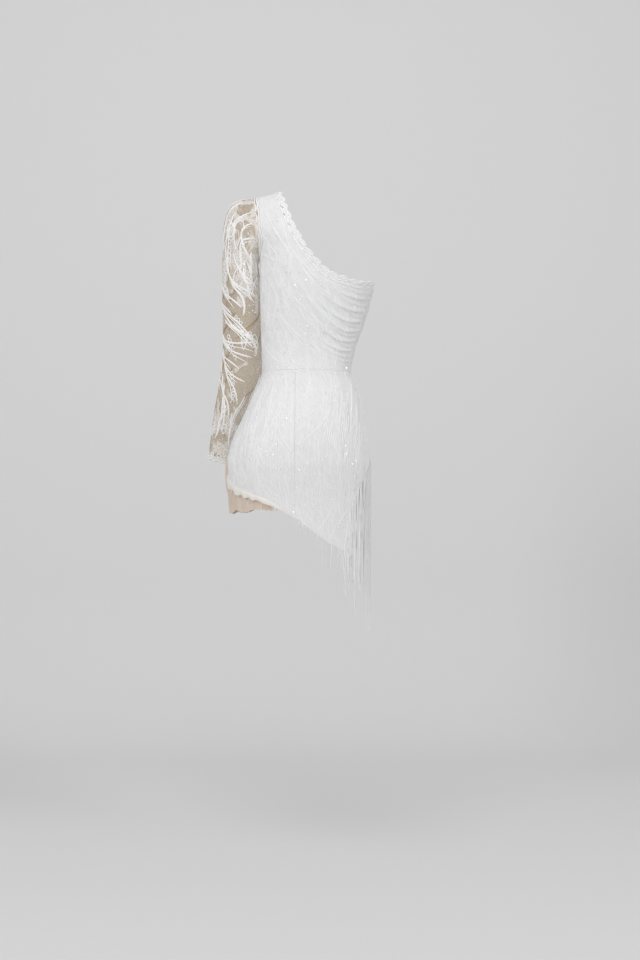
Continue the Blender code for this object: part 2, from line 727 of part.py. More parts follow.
def strip_stops(length, pitch, random):
    """Places along a strip where its cross-sections lie. Every second stretch carries a strand."""
    strands = int((length - 2 * STRIP_END) / pitch)
    first = STRIP_END + (length - 2 * STRIP_END - strands * pitch) / 2
    stops = [first]
    for strand in range(strands):
        start = first + strand * pitch + (pitch - STRAND_ROOT) * random.uniform(*STRAND_LEAD)
        stops += [start, start + STRAND_ROOT]
    return np.array(stops + [first + strands * pitch])


def strand_rings(root, place, ends, segments, random):
    """Rings of four points that carry a strand's root, four corners, down to its end."""
    middle = root.mean(axis=0)
    sideways = root[3] - root[0]
    sideways[2] = 0
    sideways /= np.linalg.norm(sideways)
    outward = np.array([-sideways[1], sideways[0], 0])
    if np.dot(outward, root[0] - root[1]) < 0:
        outward = -outward
    uneven = random.uniform(-STRAND_UNEVEN, STRAND_UNEVEN)
    length = max(middle[2] - smooth_curve(ends, 0, 1, middle[0]) + uneven, STRAND_LEAST)
    rings = []
    for share in np.arange(1, segments + 1) / segments:
        half = (STRAND_TOP * (1 - share) + STRAND_TIP * share) / 2
        swing = STRAND_SWING * share * math.sin(STRAND_SWING_TURN * place)
        swing += STRAND_BEND * math.sin(math.pi * share)
        centre = middle - np.array([0, 0, STRAND_DROP + length * share])
        centre = centre + sideways * swing + outward * STRAND_BEND * share
        signs = ((-1, 1), (-1, -1), (1, -1), (1, 1))
        rings.append([centre + half * (p * sideways + q * outward) for p, q in signs])
    return rings


def fringe(name, side, hem, plan, ends, material, collection):
    """Strands on a narrow strip just past a stretch of the hem.

    hem holds the stretch's points and normals, and ends is a table of x and the height where a
    strand there ends.
    """
    pitch, segments, seed = plan
    random = np.random.default_rng(seed)
    edge, normals = hem
    away = away_from_cloth(edge, normals)
    away *= np.sign(-away[len(away) // 2, 2])
    lengths = np.concatenate([[0], np.cumsum(np.linalg.norm(np.diff(edge, axis=0), axis=1))])
    stops = strip_stops(lengths[-1], pitch, random)
    line = along_line(edge, lengths, stops)
    out = along_line(normals, lengths, stops)
    past = along_line(away, lengths, stops)
    corners = []
    for across, lift in ((SEAM, 0), (SEAM + STRIP_HEIGHT, 0), (SEAM + STRIP_HEIGHT, -WALL), (SEAM, -WALL)):
        corner = line + across * past + lift * out
        corner[:, 1] = side * np.maximum(side * corner[:, 1], SEAM / 2)
        corners.append(corner)
    points = list(np.stack(corners, axis=1).reshape(-1, 3))
    faces = []
    for i in range(len(stops) - 1):
        a, b = 4 * i, 4 * (i + 1)
        for k in (0, 2, 3):
            faces.append([a + k, a + (k + 1) % 4, b + (k + 1) % 4, b + k])
        root = [a + 1, a + 2, b + 2, b + 1]
        if i % 2 == 1:
            corners = np.array([points[k] for k in root])
            for ring in strand_rings(corners, stops[i], ends, segments, random):
                fresh = [len(points) + k for k in range(4)]
                points += ring
                for k in range(4):
                    faces.append([root[k], root[(k + 1) % 4], fresh[(k + 1) % 4], fresh[k]])
                root = fresh
        faces.append(root)
    faces.append([0, 3, 2, 1])
    last = 4 * (len(stops) - 1)
    faces.append([last, last + 1, last + 2, last + 3])
    mesh = bpy.data.meshes.new(name)
    mesh.from_pydata([tuple(p) for p in points], [], faces)
    mesh.materials.append(material)
    collection.objects.link(bpy.data.objects.new(name, mesh))
    face_outwards(mesh)


def face_outwards(mesh):
    """Turns a closed mesh's faces round if they point inwards."""
    corners = np.array([v.co[:] for v in mesh.vertices])
    mesh.calc_loop_triangles()
    triangles = corners[np.array([t.vertices[:] for t in mesh.loop_triangles])]
    if np.linalg.det(triangles).sum() < 0:
        mesh.flip_normals()


def fringes(left_hem, right_hem, rise, front_hem, material, collection):
    """All five stretches of fringe. The front hem is split where its dense stretch ends."""
    near = [rows[: FRONT_DENSE_COLUMNS + 1] for rows in front_hem]
    rest = [rows[FRONT_DENSE_COLUMNS:] for rows in front_hem]
    for name, side, hem, plan, ends in (
        ("fringe_right_back", 1, rise, RIGHT_BACK_FRINGE, RIGHT_FRINGE_ENDS),
        ("fringe_back_right", 1, right_hem, BACK_RIGHT_FRINGE, BACK_FRINGE_ENDS),
        ("fringe_back_left", 1, left_hem, BACK_LEFT_FRINGE, BACK_FRINGE_ENDS),
        ("fringe_front_right", -1, near, FRONT_RIGHT_FRINGE, FRONT_FRINGE_ENDS),
        ("fringe_front_left", -1, rest, FRONT_LEFT_FRINGE, FRONT_FRINGE_ENDS),
    ):
        fringe(name, side, hem, plan, ends, material, collection)


def build():
    clear_scene()
    collection = bpy.data.collections.new("lace_wedding_dress")
    bpy.context.scene.collection.children.link(collection)
    white = cloth_material("white lace over white lining", WHITE_LACE)
    tulle = cloth_material("nude tulle", NUDE_TULLE)
    nude = cloth_material("nude lining", NUDE_LINING)
    cord = cloth_material("corded lace", WHITE_CORD)
    back_neckline = bodice("back_bodice", 1, BACK_BODICE_GRID, white, collection)
    front_neckline = bodice("front_bodice", -1, FRONT_BODICE_GRID, white, collection)
    back_hems = back_skirts(white, collection)
    front_hem = front_skirt(white, collection)
    side_lining(nude, collection)
    sleeve(tulle, collection)
    neckline_edging("neckline_lace_back", back_neckline, cord, collection)
    neckline_edging("neckline_lace_front", front_neckline, cord, collection)
    cuff_edging("cuff_lace_back", 1, cord, collection)
    cuff_edging("cuff_lace_front", -1, cord, collection)
    fringes(*back_hems, front_hem, cloth_material("fringe thread", WHITE_CORD), collection)


build()
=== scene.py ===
# %% [markdown]
# A short lace wedding dress, kept in the hollow form it has when worn.
# The imported solids give the frame: their sizes and places are fixed. This script dresses them: each
# panel gets a fine shell of cloth with its creases, and lace, beads and fringe are laid on those
# shells. First the frame is loaded.

import math

import bpy
import numpy as np
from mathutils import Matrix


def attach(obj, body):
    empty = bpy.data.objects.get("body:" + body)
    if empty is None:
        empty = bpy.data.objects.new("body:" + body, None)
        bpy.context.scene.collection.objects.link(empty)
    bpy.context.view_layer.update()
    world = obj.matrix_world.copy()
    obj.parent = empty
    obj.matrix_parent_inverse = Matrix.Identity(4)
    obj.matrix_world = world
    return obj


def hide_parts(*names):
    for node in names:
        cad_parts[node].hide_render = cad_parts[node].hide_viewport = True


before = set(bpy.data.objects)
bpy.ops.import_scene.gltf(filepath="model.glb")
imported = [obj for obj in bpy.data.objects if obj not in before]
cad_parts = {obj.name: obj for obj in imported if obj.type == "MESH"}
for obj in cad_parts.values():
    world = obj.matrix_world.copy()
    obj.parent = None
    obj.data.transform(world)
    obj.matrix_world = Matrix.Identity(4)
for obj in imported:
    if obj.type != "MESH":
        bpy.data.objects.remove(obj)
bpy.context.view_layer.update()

# %% [markdown]
# Colours are written as sRGB hex values, as a colour picker shows them, and Blender's sockets want
# linear light. One function turns them. A second small function adds any shader node with its
# settings and links, so that a material reads as a short list of what feeds what.

# %% Colour and node helpers
MM = 0.001


def linear(hex_colour):
    """An sRGB hex colour as linear RGBA."""
    parts = [int(hex_colour[i:i + 2], 16) / 255 for i in (1, 3, 5)]
    return [c / 12.92 if c <= 0.04045 else ((c + 0.055) / 1.055) ** 2.4 for c in parts] + [1.0]


def feed(node, sources):
    """Links sources to a node's sockets. A source that is a node gives its first output."""
    for socket, source in sources.items():
        node.id_data.links.new(getattr(source, "outputs", [source])[0], node.inputs[socket])


def add_node(tree, kind, *sources, **values):
    """Adds a shader node, feeds its first sockets in order, and sets or feeds others by name."""
    node = tree.nodes.new("ShaderNode" + kind)
    feed(node, dict(enumerate(sources)))
    for name, value in values.items():
        socket = name.replace("_", " ")
        if isinstance(value, bpy.types.Node):
            feed(node, {socket: value})
        elif hasattr(node, name):
            setattr(node, name, value)
        else:
            node.inputs[socket].default_value = value
    return node


def new_material(name, colour, roughness, **values):
    """A material, with its node tree and its Principled shader to add patterns to."""
    material = bpy.data.materials.new(name)
    material.use_nodes = True
    shader = material.node_tree.nodes["Principled BSDF"]
    for socket, value in dict(Base_Color=linear(colour), Roughness=roughness, **values).items():
        shader.inputs[socket.replace("_", " ")].default_value = value
    return material, material.node_tree, shader


def add_to_scene(name, data):
    obj = bpy.data.objects.new(name, data)
    bpy.context.scene.collection.objects.link(obj)
    return obj


def mesh_object(name, points, faces, material):
    mesh = bpy.data.meshes.new(name)
    mesh.from_pydata(np.asarray(points).reshape(-1, 3).tolist(), [], faces)
    mesh.materials.append(material)
    mesh.shade_smooth()
    return add_to_scene(name, mesh)


# %% [markdown]
# The studio is a pale grey paper roll: a floor that curves up into a wall, so no corner shows.
# The camera stands behind the dress at chest height. Its distance and lens come from the
# perspective of the photograph, worked out from a flat square that stands on the floor there.

# %% Studio floor and backdrop
FLOOR_HEIGHT = -1.537
WALL_DISTANCE = 1.75
CURVE_RADIUS = 0.55
HALF_WIDTH = 6.0
FLOOR_NEAR = 7.0


def paper_profile():
    """(distance from the camera's side, height) of the paper roll, floor first."""
    points = [(FLOOR_NEAR, 0.0), (2.0, 0.0), (0.0, 0.0), (-WALL_DISTANCE + CURVE_RADIUS, 0.0)]
    for step in range(1, 13):
        angle = step / 12 * math.pi / 2
        points.append((-WALL_DISTANCE + CURVE_RADIUS - CURVE_RADIUS * math.sin(angle),
                       CURVE_RADIUS * (1 - math.cos(angle))))
    return points + [(-WALL_DISTANCE, 5.5)]


profile = paper_profile()
paper_points = [(x, y, FLOOR_HEIGHT + z) for y, z in profile for x in (-HALF_WIDTH, HALF_WIDTH)]
paper_faces = [(2 * i, 2 * i + 1, 2 * i + 3, 2 * i + 2) for i in range(len(profile) - 1)]
PAPER, _, _ = new_material("pale grey studio paper", "#EAEAEA", 0.85, Specular_IOR_Level=0.2)
paper = mesh_object("studio_paper", paper_points, paper_faces, PAPER)
print("studio paper:", len(paper_faces), "faces")

# %% Soft studio light
def area_light(name, place, size, power):
    """A softbox that faces the dress's chest."""
    light = bpy.data.lights.new(name, "AREA")
    light.shape = "RECTANGLE"
    light.size, light.size_y = size
    light.energy = power
    lamp = add_to_scene(name, light)
    lamp.location = place
    x, y, z = [a - b for a, b in zip(place, CHEST)]
    lamp.rotation_euler = (math.atan2(math.hypot(x, y), z), 0, math.atan2(x, -y))


CHEST = (-0.1, 0.0, -0.3)
area_light("softbox_left", (2.5, 3.1, 0.9), (1.2, 1.5), 49)
area_light("softbox_right", (-2.4, 2.0, 1.2), (0.9, 1.2), 28)
area_light("softbox_top", (0.3, 2.0, 2.5), (2.0, 1.0), 24)
world = bpy.data.worlds.new("studio_air")
world.use_nodes = True
air = world.node_tree.nodes["Background"]
air.inputs["Color"].default_value = linear("#F4F4F6")
air.inputs["Strength"].default_value = 0.43
bpy.context.scene.world = world
bpy.context.scene.view_settings.view_transform = "Standard"

# %% Camera
CAMERA_PLACE = (-0.117, 2.78, -0.658)
FOCAL_PIXELS = 1232
FRAME_HEIGHT_PIXELS = 960
HORIZON_BELOW_CENTRE = 8
camera_data = bpy.data.cameras.new("photo_camera")
camera_data.sensor_fit = "VERTICAL"
camera_data.sensor_height = 36
camera_data.lens = 36 * FOCAL_PIXELS / FRAME_HEIGHT_PIXELS
camera_data.shift_y = HORIZON_BELOW_CENTRE / FRAME_HEIGHT_PIXELS
camera = add_to_scene("photo_camera", camera_data)
camera.location = CAMERA_PLACE
camera.rotation_euler = (math.pi / 2, 0, math.pi)
bpy.context.scene.camera = camera
print("lens", round(camera_data.lens, 1), "mm")

# %% [markdown]
# The dress's form is lofted: a table gives the centre, half width, and back and front depth at
# each height, and a smooth curve runs through its rows. A point is named by how far round the body
# it lies (1 is the left side seam, 0 the middle, -1 the right) and by its height. Every panel,
# cord and bead is placed through this one function, so all of them lie on the same form.

# %% The form of the dress
SEAM = 0.4 * MM
WAIST = -0.396
# Columns: height, centre's x, half width, depth at the back, depth at the front
BODY_SECTIONS = (
    (0.030, -0.1180, 0.1700, 0.086, 0.080),  # above the strap
    (-0.076, -0.1147, 0.1660, 0.092, 0.092),  # shoulder blades
    (-0.125, -0.1105, 0.1340, 0.096, 0.110),
    (-0.147, -0.1105, 0.1300, 0.097, 0.118),  # armpit
    (-0.204, -0.1100, 0.1287, 0.095, 0.128),  # underarm
    (-0.234, -0.1069, 0.1253, 0.091, 0.130),  # bust
    (-0.290, -0.0995, 0.1168, 0.081, 0.112), (-0.346, -0.0905, 0.1055, 0.072, 0.094),
    (-0.396, -0.0865, 0.1004, 0.070, 0.086),  # waist
    (-0.426, -0.0865, 0.1118, 0.078, 0.090), (-0.459, -0.0854, 0.1241, 0.092, 0.097),
    (-0.500, -0.0809, 0.1377, 0.108, 0.103), (-0.538, -0.0752, 0.1501, 0.118, 0.107),
    (-0.572, -0.0713, 0.1574, 0.122, 0.108),
    (-0.599, -0.0696, 0.1603, 0.122, 0.107),  # hip
    (-0.640, -0.0708, 0.1592, 0.117, 0.105), (-0.685, -0.0737, 0.1553, 0.110, 0.103),
    (-0.820, -0.0780, 0.1500, 0.102, 0.100),  # below the hem's point
)
ROUNDNESS = 0.9
SHOULDER_HEIGHT = 1.6 * MM
SHOULDER_SLOPE = 0.22
SHOULDER_ROUND = 0.13
# the cloth bridges the small of the waist a little, back and front
WAIST_EASE = 3.0 * MM
WAIST_SPAN = 18 * MM


def smooth_curve(rows, at, column=1):
    """A column's value where the first column is at, on a curve that never overshoots the rows."""
    keys, values = np.array([(row[0], row[column]) for row in rows], float).T
    order = np.argsort(keys)
    keys, values = keys[order], values[order]
    steps = np.diff(values) / np.diff(keys)
    slopes = np.zeros(len(keys))
    same_way = steps[:-1] * steps[1:] > 0
    before, after = steps[:-1][same_way], steps[1:][same_way]
    slopes[1:-1][same_way] = 2 * before * after / (before + after)
    slopes[0], slopes[-1] = steps[0], steps[-1]
    at = np.clip(np.asarray(at, float), keys[0], keys[-1])
    i = np.clip(np.searchsorted(keys, at) - 1, 0, len(keys) - 2)
    span = keys[i + 1] - keys[i]
    t = (at - keys[i]) / span
    return ((2 * t**3 - 3 * t**2 + 1) * values[i] + (t**3 - 2 * t**2 + t) * span * slopes[i]
            + (3 * t**2 - 2 * t**3) * values[i + 1] + (t**3 - t**2) * span * slopes[i + 1])


def shoulder_top(x):
    return SHOULDER_HEIGHT - SHOULDER_SLOPE * x


def section(column, height):
    return smooth_curve(BODY_SECTIONS, height, column)


def x_at(turn, height):
    reach = np.sign(turn) * np.sin(np.abs(turn) * math.pi / 2) ** ROUNDNESS
    return section(1, height) + section(2, height) * reach


def turn_at(x, height):
    share = np.clip((x - section(1, height)) / section(2, height), -1, 1)
    return np.sign(share) * np.arcsin(np.abs(share) ** (1 / ROUNDNESS)) / (math.pi / 2)


def bell(distance, half_width):
    return np.exp(-((distance / half_width) ** 2))


def unit(vectors):
    return vectors / np.linalg.norm(vectors, axis=-1, keepdims=True)


def form_point(side, turn, height):
    """A point of the form. side is 1 on the back and -1 on the front."""
    x = x_at(turn, height)
    depth = section(3 if side > 0 else 4, height) + WAIST_EASE * bell(height - WAIST, WAIST_SPAN)
    bow = np.clip(np.cos(turn * math.pi / 2), 0, 1) ** ROUNDNESS
    drop = np.clip((shoulder_top(x) - height) / SHOULDER_ROUND, 0, 1)
    y = side * (SEAM / 2 + depth * bow * np.sqrt(1 - (1 - drop) ** 2))
    return np.stack(np.broadcast_arrays(x, y, height), axis=-1)


def form_normal(side, turn, height):
    """Outward normals of the form, from short steps towards the middle and down."""
    inward = np.where(turn < 0, 0.01, -0.01)
    here = form_point(side, turn, height)
    across = (form_point(side, turn + inward, height) - here) * np.sign(inward)[..., None]
    return unit(np.cross(across, form_point(side, turn, height - 2 * MM) - here) * side)


def distances(points):
    """How far along a path each of its points lies."""
    return np.concatenate([[0], np.cumsum(np.linalg.norm(np.diff(points, axis=0), axis=1))])


def between(at, places, *tables):
    """Each table's rows at given places, between the rows that it has."""
    return [np.stack([np.interp(at, places, column) for column in table.T], axis=-1) for table in tables]


# %% [markdown]
# Cloth is a thin shell: an outer and an inner grid of points a millimetre or so apart, closed by a
# rim along every edge, so that it looks right from inside the neck as well. The edges come from
# short tables, as a pattern cutter marks them: the slanted neckline, the armhole and the hems.

# %% Shells from grids of points
def grid_faces(rows, columns, wraps=False, start=0, turned=False):
    """Quads of a grid of points, rows first."""
    faces = []
    for i in range(rows - 1):
        for j in range(columns if wraps else columns - 1):
            k = (j + 1) % columns
            face = [start + i * columns + j, start + i * columns + k,
                    start + (i + 1) * columns + k, start + (i + 1) * columns + j]
            faces.append(face[::-1] if turned else face)
    return faces


def rim_faces(loop, layer):
    """Quads between an outer edge's points and the same points of the inner layer."""
    return [[a, a + layer, b + layer, b] for a, b in zip(loop, loop[1:])]


def shell(name, outer, inner, material):
    """A closed shell between two grids of points."""
    rows, columns, _ = outer.shape
    layer = rows * columns
    faces = grid_faces(rows, columns) + grid_faces(rows, columns, start=layer, turned=True)
    first = list(range(columns))
    last = [j + layer - columns for j in first]
    left = list(range(0, layer, columns))
    right = [i + columns - 1 for i in left]
    for rim in (first, last[::-1], left[::-1], right):
        faces += rim_faces(rim, layer)
    obj = mesh_object(name, np.concatenate([outer.reshape(-1, 3), inner.reshape(-1, 3)]), faces, material)
    obj.data.set_sharp_from_angle(angle=math.radians(60))
    return obj


def dress(obj, slot, *nodes):
    """Ties a piece to the dress, and lets it stand for its CAD nodes, if any. Its slot, the name of its
    finish, is not used.
    """
    if nodes:
        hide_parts(*nodes)
    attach(obj, "root")
    return obj


# %% Edges of the panels
UNDERARM_RIGHT = -0.211
ARMPIT = -0.145
ARMHOLE = ((-0.0045, 0.0274), (-0.052, 0.0206), (-0.087, 0.0182), (-0.118, 0.0185), (ARMPIT, 0.0196))
NECKLINE = (
    (-0.0141, 0.0047),  # on the shoulder
    (-0.0287, -0.0352), (-0.0470, -0.0846), (-0.0712, -0.1302), (-0.0996, -0.1677), (-0.1301, -0.1960),
    (-0.1717, -0.2110), (-0.2052, -0.2170),
    (-0.2380, UNDERARM_RIGHT),  # right side seam
)
FRONT_NECK_DROP = 0.016
FRONT_NECK_INSET = 0.010
BACK_SEAM_X = -0.0625
BACK_HEM = (
    (1.00, -0.632), (0.905, -0.641), (0.648, -0.662), (0.332, -0.684), (0.205, -0.699), (0.038, -0.7252),
    (-0.106, -0.7557), (-0.242, -0.7799),
    (-0.393, -0.7979),  # the hem's point
)
HEM_POINT = -0.393
BACK_HEM_RISE = (
    (HEM_POINT, -0.7979), (-0.498, -0.6950), (-0.657, -0.6450), (-0.858, -0.6130), (-1.0, -0.6000),
)
FRONT_HEM = ((-1.00, -0.600), (-0.70, -0.620), (-0.35, -0.643), (0.0, -0.665), (0.35, -0.684), (0.78, -0.699))
SLIT_TOP = -0.545
SLIT_FLARE = 0.10
SLIT_FRONT_EDGE = 0.78


def neckline_points(side, count):
    """The neckline's edge from the shoulder to the right side seam, as (x, height)."""
    edge = np.array(NECKLINE)
    rows = np.column_stack([distances(edge), edge])
    along = np.linspace(0, rows[-1, 0], count)
    x, height = smooth_curve(rows, along), smooth_curve(rows, along, 2)
    if side < 0:
        away = np.sin(math.pi * along / along[-1]).clip(0, 1) ** 0.7
        x, height = x + FRONT_NECK_INSET * away, height - FRONT_NECK_DROP * away
    height[0], x[-1] = shoulder_top(x[0]), x_at(-1, height[-1])
    return np.stack([x, height], axis=1)


def slit_edge(height):
    """The front panel's left edge: the side seam, then forward of it below the slit's top."""
    below = np.clip((SLIT_TOP - height) / SLIT_FLARE, 0, 1)
    return 1 - (1 - SLIT_FRONT_EDGE) * (3 * below**2 - 2 * below**3)


print("neckline length", round(float(distances(neckline_points(1, 60))[-1]), 3), "m")

# %% [markdown]
# Two white finishes cover most of the dress. Its cloth is corded lace laid flat on a matt satin
# lining: seen from two metres it is white with faint drawn threads, and it has no shine of its own.
# The trim and the motifs are rayon cord, a little brighter, with a ribbed surface where the
# thread wraps it. Both patterns are worked out in the dress's own millimetres.

# %% White lace over satin
def position(tree):
    return add_node(tree, "TexCoord").outputs["Object"]


def scaled(tree, source, *sizes_mm):
    """The position with each axis divided by a size in millimetres, for a pattern of that grain."""
    return add_node(tree, "Mapping", source, Scale=[1 / (size * MM) for size in sizes_mm])


# a cell pattern that measures to the nearest edge between cells, so it draws outlines and nets
OUTLINES = {"feature": "DISTANCE_TO_EDGE", "Scale": 1.0}


def set_stops(ramp, *stops):
    for element, (place, colour) in zip(ramp.color_ramp.elements, stops):
        element.position, element.color = place, linear(colour)


def lace_cloth():
    material, tree, shader = new_material("white lace over satin lining", "#ECECEC", 0.6,
                                          Specular_IOR_Level=0.3, Sheen_Weight=0.2, Sheen_Roughness=0.4)
    place = position(tree)
    # the lace's own veins: cells of 10 by 75 mm that lean, bent by a soft noise, with a raised
    # edge 2 mm wide as their outline
    bend = add_node(tree, "TexNoise", scaled(tree, place, 70, 70, 70), Scale=1.0, Detail=1.0)
    shift = add_node(tree, "VectorMath", bend.outputs["Color"], operation="SCALE", Scale=44 * MM)
    bent = add_node(tree, "VectorMath", place, shift, operation="ADD")
    lean = add_node(tree, "Mapping", bent, Rotation=(0.0, math.radians(-28), 0.0))
    cells = add_node(tree, "TexVoronoi", scaled(tree, lean, 10, 13, 75), **OUTLINES)
    outline = add_node(tree, "MapRange", cells, From_Min=0.02, From_Max=0.16, To_Min=0.8, To_Max=0.0,
                       interpolation_type="SMOOTHSTEP")
    # drawn threads: narrow streaks that run down the cloth, 2.4 mm apart
    threads = add_node(tree, "TexNoise", scaled(tree, place, 2.4, 2.4, 30), Scale=1.0, Detail=2.0)
    # the net: meshes of 2.6 mm, coarser than the real 1.5 mm so that they show
    net = add_node(tree, "TexVoronoi", scaled(tree, place, 2.6, 2.6, 2.6), **OUTLINES)
    bars = add_node(tree, "MapRange", net, From_Min=0.03, From_Max=0.2, To_Min=0.34, To_Max=0.0)
    lines = add_node(tree, "Math", outline, bars, operation="MAXIMUM")
    fibre = add_node(tree, "Math", threads, operation="MULTIPLY_ADD")
    fibre.inputs[1].default_value = 0.55
    feed(fibre, {2: lines})
    ramp = add_node(tree, "ValToRGB", fibre)
    set_stops(ramp, (0.15, "#E9E9EA"), (0.85, "#EFEFEF"))
    bump = add_node(tree, "Bump", Height=fibre, Strength=0.45, Distance=0.8 * MM)
    feed(shader, {"Base Color": ramp, "Normal": bump})
    return material


def rayon_cord(name, colour):
    material, tree, shader = new_material(name, colour, 0.5, Specular_IOR_Level=0.35, Sheen_Weight=0.15)
    wraps = add_node(tree, "TexNoise", scaled(tree, position(tree), 1.1, 1.1, 1.1), Scale=1.0, Detail=2.0)
    feed(shader, {"Normal": add_node(tree, "Bump", Height=wraps, Strength=0.5, Distance=0.5 * MM)})
    return material


LACE_CLOTH = lace_cloth()
CORD = rayon_cord("white rayon lace cord", "#FCFBFA")
# on the body it is a shade softer, so that white on white stays quiet
BODY_CORD_FINISH = rayon_cord("soft white rayon lace cord", "#F5F5F5")
print("materials:", LACE_CLOTH.name, "and", CORD.name)

# %% [markdown]
# The bodice is drawn up into the right side seam: the cloth is gathered there and swags of it fan
# out across the back, deepest under the arm. Each swag is a ridge that follows its own line, so
# they are placed one by one in a table, uneven in spacing and depth. The skirt has only soft
# flutes and drag lines from the hip.

# %% Creases placed one by one
# Columns, in metres, then in millimetres: height at the seam, rise to the inner end, sag, reach from the
# seam, depth, half width
SWAGS = (
    (-0.2240, 6, 7, 70, 1.3, 3.4), (-0.2335, 16, 12, 105, 2.3, 4.8), (-0.2455, 18, 15, 84, 1.4, 3.4),
    (-0.2570, 28, 19, 120, 3.1, 5.8), (-0.2680, 20, 18, 70, 1.6, 3.0), (-0.2775, 35, 24, 126, 3.4, 5.6),
    (-0.2895, 20, 18, 76, 2.2, 3.2), (-0.2980, 37, 25, 120, 3.2, 5.4), (-0.3105, 22, 18, 90, 2.2, 3.8),
    (-0.3220, 33, 21, 114, 3.2, 5.2), (-0.3350, 17, 15, 66, 1.9, 3.2), (-0.3445, 25, 17, 100, 2.9, 5.0),
    (-0.3600, 14, 11, 78, 1.9, 4.2), (-0.3730, 8, 7, 58, 1.4, 3.4),
)
# Columns: place round the body at the top, at the bottom, top height, bottom height, depth in
# millimetres (less than 0 is a hollow), half width round the body
FLUTES = (
    (0.10, 0.20, -0.400, -0.470, 1.1, 0.050), (0.34, 0.62, -0.402, -0.600, 1.5, 0.040),
    (0.62, 0.80, -0.402, -0.560, -1.2, 0.045), (0.80, 0.93, -0.440, -0.610, 1.2, 0.035),
    (-0.18, -0.26, -0.400, -0.520, 1.0, 0.045), (-0.34, -0.38, -0.440, -0.720, 1.3, 0.035),
    (-0.52, -0.50, -0.404, -0.640, -1.3, 0.040), (-0.66, -0.62, -0.402, -0.600, 1.4, 0.035),
    (-0.82, -0.80, -0.402, -0.560, 1.2, 0.040), (0.44, 0.36, -0.560, -0.700, 1.0, 0.045),
    (-0.06, -0.12, -0.560, -0.740, 0.9, 0.040),
)
# The same columns, for the bodice
DRAG_LINES = (
    (0.52, 0.20, -0.150, -0.330, 1.4, 0.045), (0.72, 0.52, -0.190, -0.380, 1.2, 0.040),
    (0.86, 0.80, -0.180, -0.390, -1.0, 0.035), (0.18, -0.02, -0.200, -0.390, 1.1, 0.050),
    (0.36, 0.30, -0.300, -0.394, -1.0, 0.050), (0.62, 0.60, -0.160, -0.374, 1.8, 0.016),
    (0.70, 0.67, -0.185, -0.384, 1.5, 0.014), (0.22, -0.12, -0.196, -0.296, 1.7, 0.024),
    (0.04, -0.27, -0.190, -0.274, 1.5, 0.022), (0.36, 0.14, -0.158, -0.246, 1.3, 0.026),
    (-0.10, -0.42, -0.204, -0.268, 1.4, 0.020), (0.14, -0.20, -0.292, -0.380, 1.6, 0.026),
)


def swag_relief(turn, height):
    """How far the gathered cloth stands out. Each swag hangs lowest a third of the way in."""
    from_seam = x_at(turn, height) - x_at(-1, height)
    total = np.zeros(turn.shape)
    for at_seam, rise, sag, reach, ridge, half_width in SWAGS:
        along = np.clip(from_seam / (reach * MM), 0, 1)
        line = at_seam + MM * (rise * along - sag * np.sin(math.pi * along**0.7))
        fade = (1 - along) ** 0.8 * np.clip(from_seam / (8 * MM), 0.4, 1)
        away = height - line
        # a swag is rounder above and tucks under below
        shape = np.where(away > 0, bell(away, half_width * MM), bell(away, 0.45 * half_width * MM))
        total += ridge * MM * fade * shape
    return total


def line_relief(table, turn, height):
    """Soft ridges and hollows that each run from one point to another."""
    total = np.zeros(turn.shape)
    for top_turn, low_turn, top, low, depth, half_width in table:
        along = (top - height) / (top - low)
        line = top_turn + (low_turn - top_turn) * along
        fade = np.sin(math.pi * np.clip(along, 0, 1)) ** 0.7
        total += depth * MM * fade * bell(turn - line, half_width)
    return total


def bodice_relief(side, turn, height):
    swags = swag_relief(turn, height) * (1.0 if side > 0 else 0.85)
    return swags + line_relief(DRAG_LINES, turn, height)


def skirt_relief(side, turn, height):
    if side < 0:
        return line_relief(FLUTES, 0.04 - turn, height)
    # the back seam draws the cloth in a little
    drawn_in = 1.6 * MM * bell(turn - turn_at(BACK_SEAM_X, height), 0.011)
    return line_relief(FLUTES, turn, height) - drawn_in


print("creases:", len(SWAGS), "swags,", len(FLUTES) + len(DRAG_LINES), "soft lines")

# %% Panels of white lace
CLOTH = 1.2 * MM
EDGE_EASE = 22  # creases fade out within 1/22 of a panel from its edges


def cloth_panel(name, side, turn, height, relief, node):
    """A shell on the form, raised by its creases, that stands for one CAD node."""
    normals = form_normal(side, turn, height)
    outer = form_point(side, turn, height)
    inner = outer - CLOTH * normals
    down, across = [np.minimum(s, 1 - s) for s in map(lambda count: np.linspace(0, 1, count), turn.shape)]
    edge = np.minimum(1, EDGE_EASE * np.minimum(down[:, None], across))
    outer = outer + normals * (relief * edge)[..., None]
    for layer in (outer, inner):
        layer[..., 1] = side * np.maximum(side * layer[..., 1], SEAM / 2)
    obj = dress(shell(name, outer, inner, LACE_CLOTH), "white_lace", node)
    print(name, "creases up to", round(float(relief.max()) / MM, 1), "mm")
    return outer, normals


